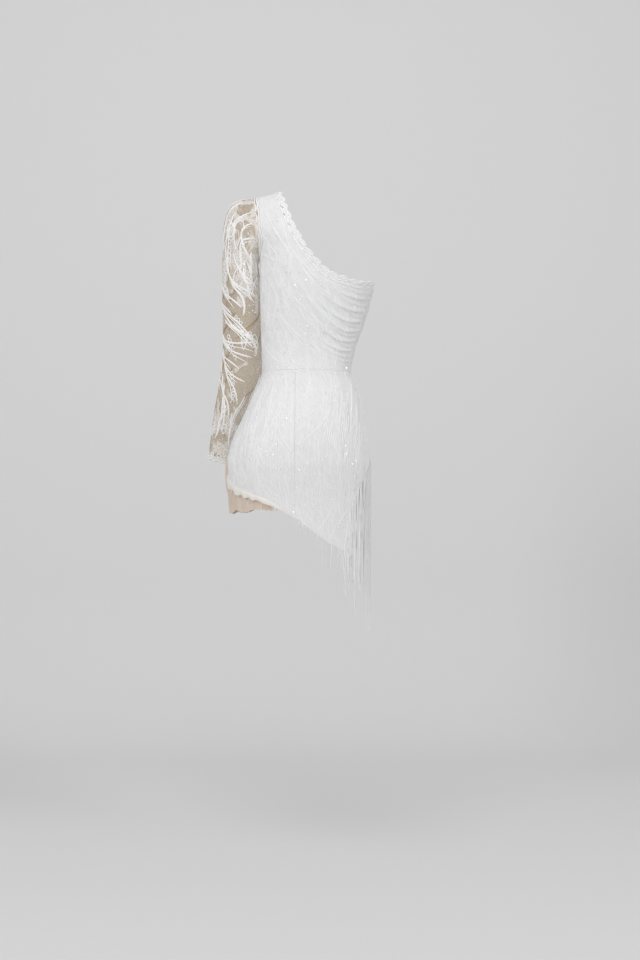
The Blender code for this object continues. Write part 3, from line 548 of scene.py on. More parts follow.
def bodice_grid(side, strap_columns, neck_columns, rows):
    """Places round the body and heights for one side of the bodice, waist first."""
    across = np.linspace(0, 1, strap_columns + neck_columns + 1)
    up = np.linspace(0, 1, rows + 1)[:, None]
    up = 1 - (1 - up) ** (1.5 - 0.5 * across)
    waist = WAIST + SEAM / 2
    bottom = np.stack([x_at(1 - 2 * across, waist), np.full(len(across), waist)], axis=1)
    strap_x = np.linspace(ARMHOLE[0][1], NECKLINE[0][0], strap_columns + 1)
    strap = np.stack([strap_x, shoulder_top(strap_x)], axis=1)
    top = np.concatenate([strap, neckline_points(side, neck_columns + 1)[1:]])

    def left(share):
        heights = waist + (strap[0, 1] - waist) * share
        x = np.where(heights <= ARMPIT, x_at(1, heights), smooth_curve(ARMHOLE, heights))
        return np.stack([x, heights], axis=-1)

    def right(share):
        heights = waist + (UNDERARM_RIGHT - waist) * share
        return np.stack([x_at(-1, heights), heights], axis=-1)

    u, v = across[None, :, None], up[:, :, None]
    flat = ((1 - v) * bottom + v * top + (1 - u) * (left(up) - (1 - v) * bottom[0] - v * top[0])
            + u * (right(up) - (1 - v) * bottom[-1] - v * top[-1]))
    height = flat[..., 1]
    turn = turn_at(flat[..., 0], height)
    turn[:, -1] = -1
    turn[height[:, 0] <= ARMPIT, 0] = 1
    if side < 0:
        turn, height = turn[:, ::-1], height[:, ::-1]
    return turn, height


def make_bodice(name, side, node):
    turn, height = bodice_grid(side, STRAP_COLUMNS, NECK_COLUMNS, 190)
    relief = bodice_relief(side, turn, height)
    outer, normals = cloth_panel(name, side, turn, height, relief, node)
    neck = slice(STRAP_COLUMNS, None) if side > 0 else slice(None, NECK_COLUMNS + 1)
    return outer[-1, neck], normals[-1, neck]


STRAP_COLUMNS = 20
NECK_COLUMNS = 110
neckline_back = make_bodice("bodice_back_cloth", 1, "back_bodice")
neckline_front = make_bodice("bodice_front_cloth", -1, "front_bodice")

# %% Skirt panels
SHARED_OUT = -0.7  # the height at which a panel's columns are shared out between its edges


def hem_height(side, turn):
    """The hem falls to its point, and rises from there to the right hip."""
    if side < 0:
        return smooth_curve(FRONT_HEM, turn)
    return np.where(turn < HEM_POINT, smooth_curve(BACK_HEM_RISE, turn), smooth_curve(BACK_HEM, turn))


def skirt_grid(side, first, last, rows, low):
    """Places round the body and heights of a panel between two edges, over these places of its hem."""
    lowest = hem_height(side, low)
    height = lowest + (WAIST - SEAM / 2 - lowest) * np.linspace(0, 1, rows + 1)[:, None]
    start, end = first(height), last(height)
    return start + (end - start) * (low - low[0]) / (low[-1] - low[0]), height


def seam_turn(offset):
    return lambda height: turn_at(BACK_SEAM_X + offset, height)


def side_seam(turn):
    return lambda height: turn + 0 * height


# Columns: piece, CAD node, side, first and last edge, rows, columns, flat size in metres
SKIRTS = (
    ("skirt_back_left_cloth", "back_skirt_left", 1, side_seam(1), seam_turn(SEAM / 2), 120, 70, (0.20, 0.33)),
    ("skirt_back_right_cloth", "back_skirt_right", 1, seam_turn(-SEAM / 2), side_seam(-1), 150, 110,
     (0.22, 0.41)),
    ("skirt_front_cloth", "front_skirt", -1, side_seam(-1), slit_edge, 110, 130, (0.36, 0.31)),
)
hems = {}
for name, node, side, first, last, rows, columns, flat in SKIRTS:
    low = np.linspace(first(SHARED_OUT), last(SHARED_OUT), columns + 1)
    if node == "back_skirt_right":
        # columns meet the hem's point exactly, so that it stays sharp
        low = np.concatenate([np.linspace(low[0], HEM_POINT, 50), np.linspace(HEM_POINT, -1, 60)[1:]])
    turn, height = skirt_grid(side, first, last, rows, low)
    outer, normals = cloth_panel(name, side, turn, height, skirt_relief(side, turn, height), node)
    hems[node] = (outer[0], normals[0])
print("hems:", {node: round(float(distances(edge)[-1]), 3) for node, (edge, _) in hems.items()})

# %% [markdown]
# The sleeve is one length of nude stretch tulle: a net so fine that it reads as a tint over what is
# behind it. It is a single layer of points round the arm's hollow, with a material that lets light
# and sight through in part. Rings from the shoulder to the cuff give its form.

# %% The sleeve's form
# Columns: x and height at the underarm side, x and height at the outer side, middle's y, half depth
SLEEVE_RINGS = (
    (0.0206, -0.1462, 0.0278, -0.0049, 0.000, 0.050), (0.0222, -0.1530, 0.0560, -0.0085, 0.000, 0.051),
    (0.0226, -0.1590, 0.0800, -0.0190, 0.000, 0.051), (0.0222, -0.1650, 0.0945, -0.0420, 0.000, 0.050),
    (0.0216, -0.1710, 0.1010, -0.0757, -0.001, 0.048), (0.0210, -0.1770, 0.1030, -0.1095, -0.002, 0.046),
    (0.0204, -0.1840, 0.1035, -0.1450, -0.003, 0.044), (0.0198, -0.2050, 0.1035, -0.1900, -0.005, 0.043),
    (0.0189, -0.2400, 0.1040, -0.2337, -0.009, 0.041), (0.0178, -0.2900, 0.1030, -0.2900, -0.014, 0.041),
    (0.0142, -0.3465, 0.1040, -0.3465, -0.020, 0.040), (0.0120, -0.3960, 0.1090, -0.3930, -0.030, 0.039),
    (0.0370, -0.4610, 0.1205, -0.4550, -0.045, 0.037), (0.0570, -0.5070, 0.1290, -0.4990, -0.058, 0.035),
    (0.0700, -0.5520, 0.1358, -0.5430, -0.070, 0.032), (0.0835, -0.5993, 0.1426, -0.5835, -0.080, 0.029),
)
ARMHOLE_RINGS = 2.0  # the sleeve follows the armhole's seam over this many rings


def sleeve_point(share, angle):
    """A point of the sleeve. angle 0 is the underarm side, and a quarter turn is the back."""
    share, angle = np.broadcast_arrays(np.asarray(share, float), np.asarray(angle, float))
    last = len(SLEEVE_RINGS) - 1
    rows = [(i / last, *row) for i, row in enumerate(SLEEVE_RINGS)]
    inner_x, inner_z, outer_x, outer_z, centre_y, half_depth = [
        smooth_curve(rows, share, column) for column in range(1, 7)]
    along = 0.5 - 0.5 * np.cos(angle)
    height = inner_z + (outer_z - inner_z) * along
    seam_height = ARMPIT + (ARMHOLE[0][0] - ARMPIT) * along
    seam_x = smooth_curve(ARMHOLE, seam_height)
    back, front = [form_point(side, turn_at(seam_x, seam_height), seam_height)[..., 1] for side in (1, -1)]
    fitted = np.where(np.sin(angle) > 1e-6, back, np.where(np.sin(angle) < -1e-6, front, 0))
    # near the armhole the rings give way to the seam on the bodice
    blend = np.maximum(0, 1 - share * last / ARMHOLE_RINGS)
    y = (1 - blend) * (centre_y + half_depth * np.sin(angle)) + blend * fitted
    straight_x = SLEEVE_RINGS[0][0] + (SLEEVE_RINGS[0][2] - SLEEVE_RINGS[0][0]) * along
    x = inner_x + (outer_x - inner_x) * along + blend * (seam_x + SEAM - straight_x)
    return np.stack([x, y, height], axis=-1)


def sleeve_frame(share, angle):
    """Points of the sleeve and its outward normals."""
    across = sleeve_point(share, angle + 0.02) - sleeve_point(share, angle - 0.02)
    above, below = [sleeve_point(np.clip(share + step, 0, 1), angle) for step in (-0.004, 0.004)]
    return sleeve_point(share, angle), unit(np.cross(across, below - above))


# %% Nude tulle
def nude_tulle():
    """A see-through nude net, with patches of white thread ground where the lace is dense."""
    material, tree, shader = new_material("nude stretch tulle", "#CFC0AB", 0.75, Specular_IOR_Level=0.15)
    place = position(tree)
    # the ground is densest on the upper arm, nearly absent at the elbow, and returns near the cuff
    height = add_node(tree, "SeparateXYZ", place).outputs["Z"]
    upper = add_node(tree, "MapRange", height, From_Min=-0.27, From_Max=-0.16, To_Min=0.30, To_Max=0.50)
    lower = add_node(tree, "MapRange", height, From_Min=-0.43, From_Max=-0.52, To_Min=0.0, To_Max=0.16)
    dense = add_node(tree, "Math", upper, lower, operation="ADD")
    patches = add_node(tree, "TexNoise", scaled(tree, place, 22, 22, 40), Scale=1.0, Detail=1.5,
                       Distortion=0.8)
    wanted = add_node(tree, "Math", patches, dense, operation="ADD")
    inside = add_node(tree, "MapRange", wanted, From_Min=0.88, From_Max=0.98, To_Min=0.0, To_Max=1.0)
    # the ground's thread: a net with meshes of 3 by 5 mm
    net = add_node(tree, "TexVoronoi", scaled(tree, place, 3, 3, 5), **OUTLINES)
    thread = add_node(tree, "MapRange", net, From_Min=0.08, From_Max=0.30, To_Min=1.0, To_Max=0.35)
    white = add_node(tree, "Math", inside, thread, operation="MULTIPLY")
    ramp = add_node(tree, "ValToRGB", white)
    set_stops(ramp, (0.0, "#C4AE8B"), (1.0, "#F3F0EC"))
    cover = add_node(tree, "MapRange", white, To_Min=0.44, To_Max=0.72)
    feed(shader, {"Base Color": ramp, "Alpha": cover})
    return material


SLEEVE_ROWS, SLEEVE_COLUMNS = 141, 96
sleeve_share = np.linspace(0, 1, SLEEVE_ROWS)[:, None]
sleeve_angle = np.linspace(0, 2 * math.pi, SLEEVE_COLUMNS + 1)[None, :-1]
sleeve_cloth = mesh_object("sleeve_tulle", sleeve_point(sleeve_share, sleeve_angle),
                           grid_faces(SLEEVE_ROWS, SLEEVE_COLUMNS, True), nude_tulle())
dress(sleeve_cloth, "nude_tulle", "sleeve_back", "sleeve_front")

# %% [markdown]
# In the slit over the left hip, and a little below the hem beside it, the nude lining shows. It is a
# soft flesh-toned crepe with a cut, unhemmed edge, so its lower edge is ragged and it stands a
# little proud of the white cloth. Its ripples are placed by a short sum of waves of uneven length.

# %% Nude lining in the slit
# Columns: place (0 to 1 behind the slit, 1 to 2 across it, 2 to 3 in front), share of the bulge,
# height of the lower edge
LINING = (
    (0.00, 0.00, -0.7080), (0.25, 0.00, -0.7050), (0.50, 0.00, -0.7125), (0.72, 0.00, -0.7070),
    (0.88, 0.00, -0.7110), (1.00, 0.00, -0.7090), (1.08, 0.10, -0.7120), (1.30, 0.75, -0.7155),
    (1.55, 1.00, -0.7130), (1.80, 0.60, -0.7170), (1.94, 0.06, -0.7120), (2.00, 0.00, -0.7130),
    (2.50, 0.00, -0.7150), (3.00, 0.00, -0.7100),
)
LINING_TOP = -0.566
LINING_BACK_START = 0.23
LINING_FRONT_REACH = 0.28
LINING_INSIDE = 3.0 * MM
LINING_BULGE = 12.5 * MM


def nude_crepe():
    material, tree, shader = new_material("nude crepe lining", "#DDCABB", 0.8, Specular_IOR_Level=0.2,
                                          Sheen_Weight=0.2)
    place = position(tree)
    crimp = add_node(tree, "TexNoise", scaled(tree, place, 1.4, 1.4, 1.4), Scale=1.0, Detail=2.0)
    shade = add_node(tree, "TexNoise", scaled(tree, place, 24, 24, 40), Scale=1.0)
    ramp = add_node(tree, "ValToRGB", shade)
    set_stops(ramp, (0.3, "#D6C2B1"), (0.7, "#E4D4C6"))
    bump = add_node(tree, "Bump", Height=crimp, Strength=0.3, Distance=0.5 * MM)
    feed(shader, {"Base Color": ramp, "Normal": bump})
    return material


def lining_grid(rows, columns):
    place = np.linspace(0, 3, columns + 1)[None, :]
    ragged = 0.7 * MM * np.sin(43 * place) * np.sin(17 * place + 1) + 0.5 * MM * np.sin(91 * place + 2)
    lowest = smooth_curve(LINING, place, 2) + ragged
    bulge = smooth_curve(LINING, place)
    up = np.linspace(0, 1, rows + 1)[:, None]
    height = lowest + (LINING_TOP - lowest) * up
    slit = 1 - slit_edge(height)
    turn = (LINING_BACK_START + (1 - LINING_BACK_START) * np.clip(place, 0, 1)
            + slit * np.clip(place - 1, 0, 1) + LINING_FRONT_REACH * np.clip(place - 2, 0, 1))
    folded = np.where(turn > 1, 2 - turn, turn)
    point = np.where((turn > 1)[..., None], form_point(-1, folded, height), form_point(1, folded, height))
    away = point.copy()
    away[..., 0] -= section(1, height)
    away[..., 2] = 0
    away = unit(away)
    ripple = (1.0 * np.sin(11 * place + 2 * up) + 0.6 * np.sin(23 * place - 2 * up)) * MM
    ripple = ripple * (1 - up) * np.where(bulge > 0.05, 1.0, 0.25)
    outside = -LINING_INSIDE + (LINING_BULGE + LINING_INSIDE) * bulge * slit / (1 - SLIT_FRONT_EDGE)
    return (point + away * (outside + np.minimum(ripple, 0.3 * MM))[..., None])[:, ::-1], away[:, ::-1]


lining_outer, lining_away = lining_grid(48, 200)
side_lining = shell("side_lining_cloth", lining_outer, lining_outer - 0.7 * MM * lining_away, nude_crepe())
dress(side_lining, "nude_lining", "side_lining")

# %% [markdown]
# Lace is drawn as a lacemaker would plan it: on a flat chart first, then laid on the cloth. A cord
# is a half-round ribbon of points that follows a curve, and a curve is a pen stroke whose heading
# bends by so many degrees. The chart of the sleeve measures round the arm and down it; the chart of
# the body measures round from the middle and up. Both are in metres, so a motif keeps its real size.

# %% Cords on a chart
# Across a half-round cord: shares of its half width and of its rise
CORD_SECTION = ((-1, -0.15), (-0.62, 0.78), (0.62, 0.78), (1, -0.15))


class Lace:
    """Collects the cords and patches of one piece of lace into a single mesh."""

    def __init__(self):
        self.points = []
        self.faces = []
        self.count = 0

    def add(self, points, faces):
        self.points.append(np.asarray(points).reshape(-1, 3))
        self.faces += [[corner + self.count for corner in face] for face in faces]
        self.count += len(self.points[-1])

    def cord(self, path, normals, width, rise, closed=False):
        """A half-round cord along a path. An open one narrows at its ends."""
        tangent = np.gradient(path, axis=0)
        if closed:
            tangent = np.roll(path, -1, axis=0) - np.roll(path, 1, axis=0)
        sideways = np.cross(normals, tangent)
        sideways /= np.linalg.norm(sideways, axis=1, keepdims=True) + 1e-12
        share = np.linspace(0, 1, len(path))
        size = np.ones(len(path)) if closed else np.clip(10 * np.minimum(share, 1 - share), 0.2, 1) ** 0.5
        grid = np.stack([
            path + sideways * (out * width / 2 * size)[:, None] + normals * (up * rise * size)[:, None]
            for out, up in CORD_SECTION], axis=1)
        self.add(grid, grid_faces(len(path), 4, turned=True))
        if closed:
            last = 4 * (len(path) - 1)
            base = self.count - 4 * len(path)
            self.faces += [[base + last + j, base + j, base + j + 1, base + last + j + 1] for j in range(3)]

    def make(self, name, material, slot, *nodes):
        obj = mesh_object(name, np.concatenate(self.points), self.faces, material)
        print(name, len(obj.data.polygons), "faces")
        return dress(obj, slot, *nodes)


def stroke(length, bends, steps=40):
    """A flat curve of that length that starts along +second axis and bends by these degrees in turn."""
    knots = np.concatenate([[0], np.cumsum(bends)])
    middle = (np.arange(steps) + 0.5) / steps
    heading = np.radians(np.interp(middle, np.linspace(0, 1, len(knots)), knots))
    step = length / steps * np.stack([np.sin(heading), np.cos(heading)], axis=1)
    return np.concatenate([[[0, 0]], np.cumsum(step, axis=0)])


def round_angles(steps):
    return np.linspace(0, 2 * math.pi, steps + 1)[:-1]


def teardrop(length, width, steps=40):
    """A closed drop with its point at the start."""
    angle = round_angles(steps)
    across = width / 2 * 1.3 * np.sin(angle) * np.sin(angle / 2) ** 1.3
    return np.stack([across, length / 2 * (1 - np.cos(angle))], axis=1)


def ring(diameter, steps=14):
    angle = round_angles(steps)
    return diameter / 2 * np.stack([np.sin(angle), np.cos(angle)], axis=1)


def placed(curve, start, heading):
    """The curve turned by a heading in degrees and moved to its start."""
    c, s = math.cos(math.radians(heading)), math.sin(math.radians(heading))
    return np.stack([start[0] + c * curve[:, 0] + s * curve[:, 1],
                     start[1] - s * curve[:, 0] + c * curve[:, 1]], axis=1)


# %% Charts of the sleeve and the body
chart_share = np.linspace(0, 1, 240)
CHART_LENGTH = distances(sleeve_point(chart_share, math.pi / 2))
around = sleeve_point(chart_share[:, None], np.linspace(0, 2 * math.pi, 73)[None, :])
CHART_GIRTH = np.linalg.norm(np.diff(around, axis=1), axis=2).sum(axis=1)
SLEEVE_LENGTH = CHART_LENGTH[-1]
QUARTER_HEIGHTS = np.linspace(-0.80, 0.0, 81)
QUARTER_TURNS = np.linspace(0, 1, 60)
QUARTERS = {side: form_point(side, QUARTER_TURNS, QUARTER_HEIGHTS[:, None]) for side in (1, -1)}
QUARTER_GIRTH = {side: np.linalg.norm(np.diff(points, axis=1), axis=2).sum(axis=1)
                 for side, points in QUARTERS.items()}


def on_sleeve(chart, lift=0.3 * MM):
    """Points and normals of (distance round from the back towards the outer side, distance down)."""
    down = np.clip(chart[:, 1], 0, SLEEVE_LENGTH)
    share = np.interp(down, CHART_LENGTH, chart_share)
    angle = math.pi / 2 + 2 * math.pi * chart[:, 0] / np.interp(share, chart_share, CHART_GIRTH)
    points, normals = sleeve_frame(share, angle)
    return points + lift * normals, normals


def body_turn(side, round_distance, height):
    return round_distance / np.interp(height, QUARTER_HEIGHTS, QUARTER_GIRTH[side])


def on_body(side, chart, lift=0.4 * MM):
    """Points and normals of (distance round from the middle towards the left, height)."""
    height = chart[:, 1]
    turn = np.clip(body_turn(side, chart[:, 0], height), -0.999, 0.999)
    normals = form_normal(side, turn, height)
    relief = np.where(height > WAIST, bodice_relief(side, turn, height), skirt_relief(side, turn, height))
    return form_point(side, turn, height) + (relief + lift)[:, None] * normals, normals


SIDE_STOP = 0.985  # how far round the body lace may go, where 1 is the side seam
SLIT_MARGIN = 0.03  # and how far it stays from the slit, in the same measure


def clear_of_edges(side, chart, margin):
    """Whether each point of the chart lies on white cloth, this far from its edges."""
    height = chart[:, 1]
    turn = body_turn(side, chart[:, 0], height)
    x = x_at(np.clip(turn, -1, 1), height)
    neck = neckline_points(side, 80)[::-1]
    top = np.where(x > neck[-1, 0], shoulder_top(x), np.interp(x, *neck.T))
    left = np.where(height > ARMPIT, smooth_curve(ARMHOLE, height), x_at(1, height))
    inside = (np.abs(turn) < SIDE_STOP) & (height < top - 1.3 * margin) & (x < left - margin)
    inside &= height > hem_height(side, turn) + margin
    return inside & (turn < slit_edge(height) - SLIT_MARGIN) if side < 0 else inside


print("sleeve", round(float(SLEEVE_LENGTH), 3), "m long,", round(float(CHART_GIRTH[120]), 3), "m round")

# %% [markdown]
# The sleeve carries the boldest lace. Its layout is a plain scroll design of its own: long cords
# that sweep down and round the arm, with drops, chains of rings and small wavy ends between them.
# Every stroke is a row of a table, uneven as hand-laid lace is, and the rows go right round the arm.

# %% Lace of the sleeve
# Columns: distance round and down in millimetres, heading in degrees, length in millimetres, bends
SLEEVE_STROKES = (
    # upper arm, back
    (6, 14, 8, 92, (-30, -60, 50)), (-22, 18, 14, 118, (20, -34, -8, 40)),
    (30, 10, -14, 128, (26, 10, -40, -16)), (44, 34, -4, 150, (-12, 16, -30, -44)),
    (-40, 40, 4, 100, (12, -18, 30)), (16, 96, -20, 92, (-24, -20, 34)),
    (36, 120, -18, 112, (-26, -22, -6, 24)), (-10, 112, 12, 84, (-40, 26, -52)),
    (34, 44, -62, 96, (70, 120, 130, 40)), (-24, 88, 6, 104, (-24, 20, 150, 70)),
    (22, 150, -34, 84, (-16, 44, 26)),
    # upper arm, outer and front sides
    (66, 16, 4, 120, (-14, 22, -18)), (88, 12, -6, 140, (22, -26, 18)), (110, 24, 6, 128, (-24, 24, -24)),
    (134, 14, -8, 104, (26, -40, 12)), (-66, 36, 2, 110, (18, -34, 22)), (-92, 42, -8, 96, (30, -22, -20)),
    (74, 120, -16, 118, (-20, -24, 16)), (102, 132, -18, 124, (-16, -30, 20)),
    (132, 126, -14, 108, (-30, 18, -20)),
    # across the elbow, in a band that runs down towards the body
    (56, 196, -46, 128, (-8, 16, -18)), (50, 212, -50, 112, (10, -24, 12)),
    (44, 228, -44, 96, (-14, 20, -6)), (58, 258, -30, 108, (-42, -26, 20)),
    (-2, 252, -20, 74, (-40, 36, 60)), (118, 204, -48, 120, (14, -18, 10)),
    (104, 226, -46, 106, (-12, 18, -14)), (-58, 226, -40, 88, (10, -20, 18)),
    (-76, 204, -42, 96, (-16, 14, -8)),
    # forearm, back
    (50, 262, -12, 96, (-34, -22, -14)), (52, 292, -6, 108, (-20, -26, -20)),
    (44, 318, -8, 122, (-18, -16, 14, 12)), (46, 352, -10, 120, (-10, -22, 20, 16)),
    (34, 372, -6, 112, (-18, 10, 16)), (26, 404, -2, 96, (-14, 22, -8)), (12, 428, 2, 84, (14, -20, 22)),
    (-6, 446, 0, 78, (-12, 16, -20)), (-22, 404, 4, 92, (16, -22, 14)),
    # forearm, outer and front sides
    (84, 258, -14, 118, (-26, -20, 12)), (92, 300, -10, 116, (-20, -18, 20)),
    (80, 346, -8, 120, (-16, 20, 12)), (70, 398, -4, 104, (-12, 20, -16)),
    (116, 270, -16, 112, (-24, 14, -10)), (-54, 300, -8, 120, (-18, -20, 24)),
    (-46, 352, 0, 108, (14, -22, 18)), (-50, 410, 4, 96, (-16, 20, -16)),
    (112, 330, -10, 112, (-16, 22, -12)), (98, 408, -4, 98, (14, -18, 16)),
)
# Columns: distance round and down, heading, length, width in millimetres
SLEEVE_DROPS = (
    (10, 86, 176, 56, 24), (-14, 96, 20, 66, 25), (54, 100, 188, 48, 19), (84, 96, 8, 56, 22),
    (118, 82, 184, 50, 20), (-50, 120, 12, 60, 23), (-84, 132, 190, 52, 21), (26, 188, 150, 34, 13),
    (-4, 300, 186, 34, 13), (66, 322, -14, 38, 14), (-36, 300, 172, 36, 14), (98, 246, 166, 40, 16),
    (4, 500, 180, 24, 12), (36, 506, 176, 24, 12), (-28, 498, 184, 24, 12), (66, 500, 180, 24, 12),
    (-58, 500, 178, 24, 12),
)
# Columns: distance round and down, heading, rings, ring diameter in millimetres
RING_CHAINS = (
    (26, 112, 170, 4, 7.5), (74, 176, -150, 4, 7.0), (-30, 172, 160, 3, 7.0), (20, 352, -18, 4, 8.0),
    (6, 392, -12, 3, 6.5), (60, 430, 0, 3, 6.5), (-40, 440, 6, 3, 6.5), (98, 380, -8, 4, 7.0),
    (-20, 262, -30, 3, 7.0), (44, 118, -6, 5, 8.5), (30, 268, -24, 4, 8.0), (10, 226, -40, 3, 7.0),
    (58, 398, 4, 3, 7.5), (34, 474, -10, 3, 6.5),
)
SLEEVE_CORD = 3.5
SLEEVE_RISE = 0.9 * MM


def wavy(curve, depth, length):
    """Adds small waves to a flat curve, as a laid cord that was stitched by hand has."""
    across, down = unit(np.gradient(curve, axis=0)).T
    wave = depth * np.sin(2 * math.pi * distances(curve) / length)
    return curve + np.stack([down, -across], axis=1) * wave[:, None]


def in_mm(values):
    return np.array(values, float) * MM


def sleeve_cord(lace, chart, width, closed=False):
    inside = (chart[:, 1] > 4 * MM) & (chart[:, 1] < SLEEVE_LENGTH - 2 * MM)
    if closed and not inside.all():
        return
    chart = chart if closed else chart[inside]
    if len(chart) > 5:
        points, normals = on_sleeve(chart)
        lace.cord(points, normals, width * MM, SLEEVE_RISE, closed)


random = np.random.default_rng(11)
sleeve_lace = Lace()
for right, down, heading, length, bends in SLEEVE_STROKES:
    curve = wavy(stroke(length * MM, bends, max(24, length // 2)), 0.5 * MM, 7 * MM)
    sleeve_cord(sleeve_lace, placed(curve, in_mm((right, down)), heading), SLEEVE_CORD)
    # a finer cord runs beside each bold one, and leaves it at the end
    finer = stroke(length * 0.86 * MM, [b * 0.82 for b in bends])
    sleeve_cord(sleeve_lace, placed(finer, in_mm((right - 4.2, down + 5)), heading + 3), 1.9)
for right, down, heading, length, width in SLEEVE_DROPS:
    for size, cord in ((1.0, 2.2), (0.66, 1.3)):
        drop = placed(teardrop(length * size * MM, width * size * MM), in_mm((right, down)), heading)
        sleeve_cord(sleeve_lace, drop, cord, closed=True)
for right, down, heading, rings, diameter in RING_CHAINS:
    for i in range(rings):
        middle = placed(in_mm([(0, i * (diameter + 1.2))]), in_mm((right, down)), heading)
        sleeve_cord(sleeve_lace, ring(diameter * MM * random.uniform(0.85, 1.1)) + middle, 1.7, closed=True)
sleeve_lace.make("sleeve_corded_lace", CORD, "corded_lace")

# %% Armhole cords
# Columns, in millimetres: distance from the seam, width, and depth and length of the cord's waves
ARMHOLE_CORDS = ((-1.5, 4.0, 0.6, 21), (-6.5, 2.8, 1.4, 34), (3.4, 3.0, 0.9, 27))
armhole_lace = Lace()
heights = np.linspace(ARMHOLE[0][0] - 1 * MM, ARMPIT - 4 * MM, 90)
for side in (1, -1):
    for away, width, depth, length in ARMHOLE_CORDS:
        wave = depth * np.sin(2 * math.pi * heights / (length * MM))
        x = smooth_curve(ARMHOLE, heights) + MM * (away + wave)
        turn = turn_at(np.minimum(x, x_at(0.995, heights)), heights)
        normals = form_normal(side, turn, heights)
        armhole_lace.cord(form_point(side, turn, heights) + 0.9 * MM * normals, normals, width * MM, 1.3 * MM)
armhole_lace.make("armhole_cords", CORD, "corded_lace")

# %% Scalloped cuff
def cuff_lace():
    """Rings and scallops that hang past the sleeve's edge, all round the cuff."""
    lace = Lace()
    girth = CHART_GIRTH[-1]
    scallops = 11
    pitch = girth / scallops
    edge_angle = np.linspace(0, 2 * math.pi, 200)
    edge = sleeve_point(1.0, edge_angle)
    _, normals = sleeve_frame(0.985, edge_angle)
    away = unit(edge - sleeve_point(0.97, edge_angle))
    places = distances(edge)
    places *= girth / places[-1]

    def lay(chart, width, rise, closed=True):
        point, down, out = between(chart[:, 0] % girth, places, edge, away, normals)
        lace.cord(point + chart[:, 1:] * down + 0.2 * MM * out, out, width * MM, rise * MM, closed)

    half_round = np.linspace(0, math.pi, 16)
    for i in range(scallops):
        middle = (i + 0.5) * pitch
        arch = [middle + pitch / 2 * np.cos(half_round), -1 * MM + 8.6 * MM * np.sin(half_round)]
        lay(np.stack(arch, axis=1), 2.6, 0.9, closed=False)
        lay(ring(6.6 * MM) + [middle, 1.6 * MM], 1.8, 0.7)
        lay(ring(8.0 * MM) + [middle + pitch / 2, -7.0 * MM], 2.0, 0.7)
    lay(np.stack([np.linspace(0, girth, 161)[:-1], np.full(160, -1.6 * MM)], axis=1), 2.0, 0.8)
    lace.make("cuff_scallops", CORD, "corded_lace", "cuff_lace_back", "cuff_lace_front")


cuff_lace()

# %% [markdown]
# The one-shoulder neckline is finished with a narrow border of open lace: slim leaves lie along the
# edge, each outlined with cord and filled with net, and between them the skin would show. Here the
# leaves overlap like a plait, on both sides of the bodice, and a fine cord ties their tips.

# %% Border of the neckline
def net_patch():
    material, tree, shader = new_material("white lace net", "#F8F7F5", 0.7, Specular_IOR_Level=0.2)
    net = add_node(tree, "TexVoronoi", scaled(tree, position(tree), 1.8, 1.8, 1.8), **OUTLINES)
    holes = add_node(tree, "MapRange", net, From_Min=0.10, From_Max=0.30, To_Min=0.95, To_Max=0.25)
    feed(shader, {"Alpha": holes})
    return material


NET = net_patch()
LEAF_PITCH = 8.5 * MM
LEAF_POINTS = 26
# Columns: distance past the edge and length in millimetres, lean from it in degrees
LEAF_ROWS = (
    (-0.5, 30, 71), (4.5, 28, 77), (9.5, 24, 84),
)


def fan(corners):
    """Triangles between a ring of points and the point after them."""
    return [[k, (k + 1) % corners, corners] for k in range(corners)]


def border_place(neckline):
    """Lays (distance along, distance past the edge, lift) on the neckline's edge."""
    edge, normals = neckline
    places = distances(edge)
    away = unit(np.cross(normals, np.gradient(edge, axis=0)))
    away *= np.sign(away[len(away) // 2, 2])
    ease = np.ones(9) / 9
    away = np.stack([np.convolve(np.pad(column, 4, "edge"), ease, "valid") for column in away.T], axis=1)

    def place(chart, lift):
        point, past, out = between(np.clip(chart[:, 0], 0, places[-1]), places, edge, away, normals)
        return point + chart[:, 1:] * past + lift * out, out

    return place, places[-1]


def neckline_border(name, neckline, node, seed):
    random = np.random.default_rng(seed)
    place, length = border_place(neckline)
    cords, nets = Lace(), Lace()
    for i in range(int(length / LEAF_PITCH) - 2):
        past, long, lean = LEAF_ROWS[i % 3]
        size = long * MM * random.uniform(0.86, 1.08)
        root = ((0.3 + i) * LEAF_PITCH + random.uniform(-1, 1) * MM, past * MM)
        lean += random.uniform(-4, 4)
        lift = (0.3 + 0.5 * (i % 3)) * MM
        leaf = placed(teardrop(size, 0.29 * size, LEAF_POINTS), root, lean)
        rib = placed(np.stack([np.zeros(12), np.linspace(0.1, 0.86, 12) * size], axis=1), root, lean)
        cords.cord(*place(leaf, lift), 1.9 * MM, 0.8 * MM, closed=True)
        cords.cord(*place(rib, lift), 0.9 * MM, 0.4 * MM)
        points, _ = place(np.concatenate([leaf, leaf.mean(axis=0)[None, :]]), lift)
        nets.add(points, fan(LEAF_POINTS))
    for across, width, depth in ((-0.6, 2.6, 0.3), (13.5, 1.4, 2.0)):
        line = np.stack([np.linspace(1 * MM, length - 1 * MM, 260), np.full(260, across * MM)], axis=1)
        line[:, 1] += depth * MM * np.sin(2 * math.pi * line[:, 0] / (3 * LEAF_PITCH))
        cords.cord(*place(line, 0.3 * MM), width * MM, 0.7 * MM)
    cords.make(name + "_cords", CORD, "corded_lace", node)
    nets.make(name + "_net", NET, "corded_lace")


neckline_border("neckline_border_back", neckline_back, "neckline_lace_back", 21)
neckline_border("neckline_border_front", neckline_front, "neckline_lace_front", 22)

# %% [markdown]
# The white panels are embroidered white on white. From two metres it reads as faint sweeping cords,
# drops and small rings, with loose threads that run down the skirt. The motifs are scattered on the
# body's chart by a seeded generator, one to each patch of cloth, so that no part is left bare and
# none repeats; each is cut off where it would leave its panel.

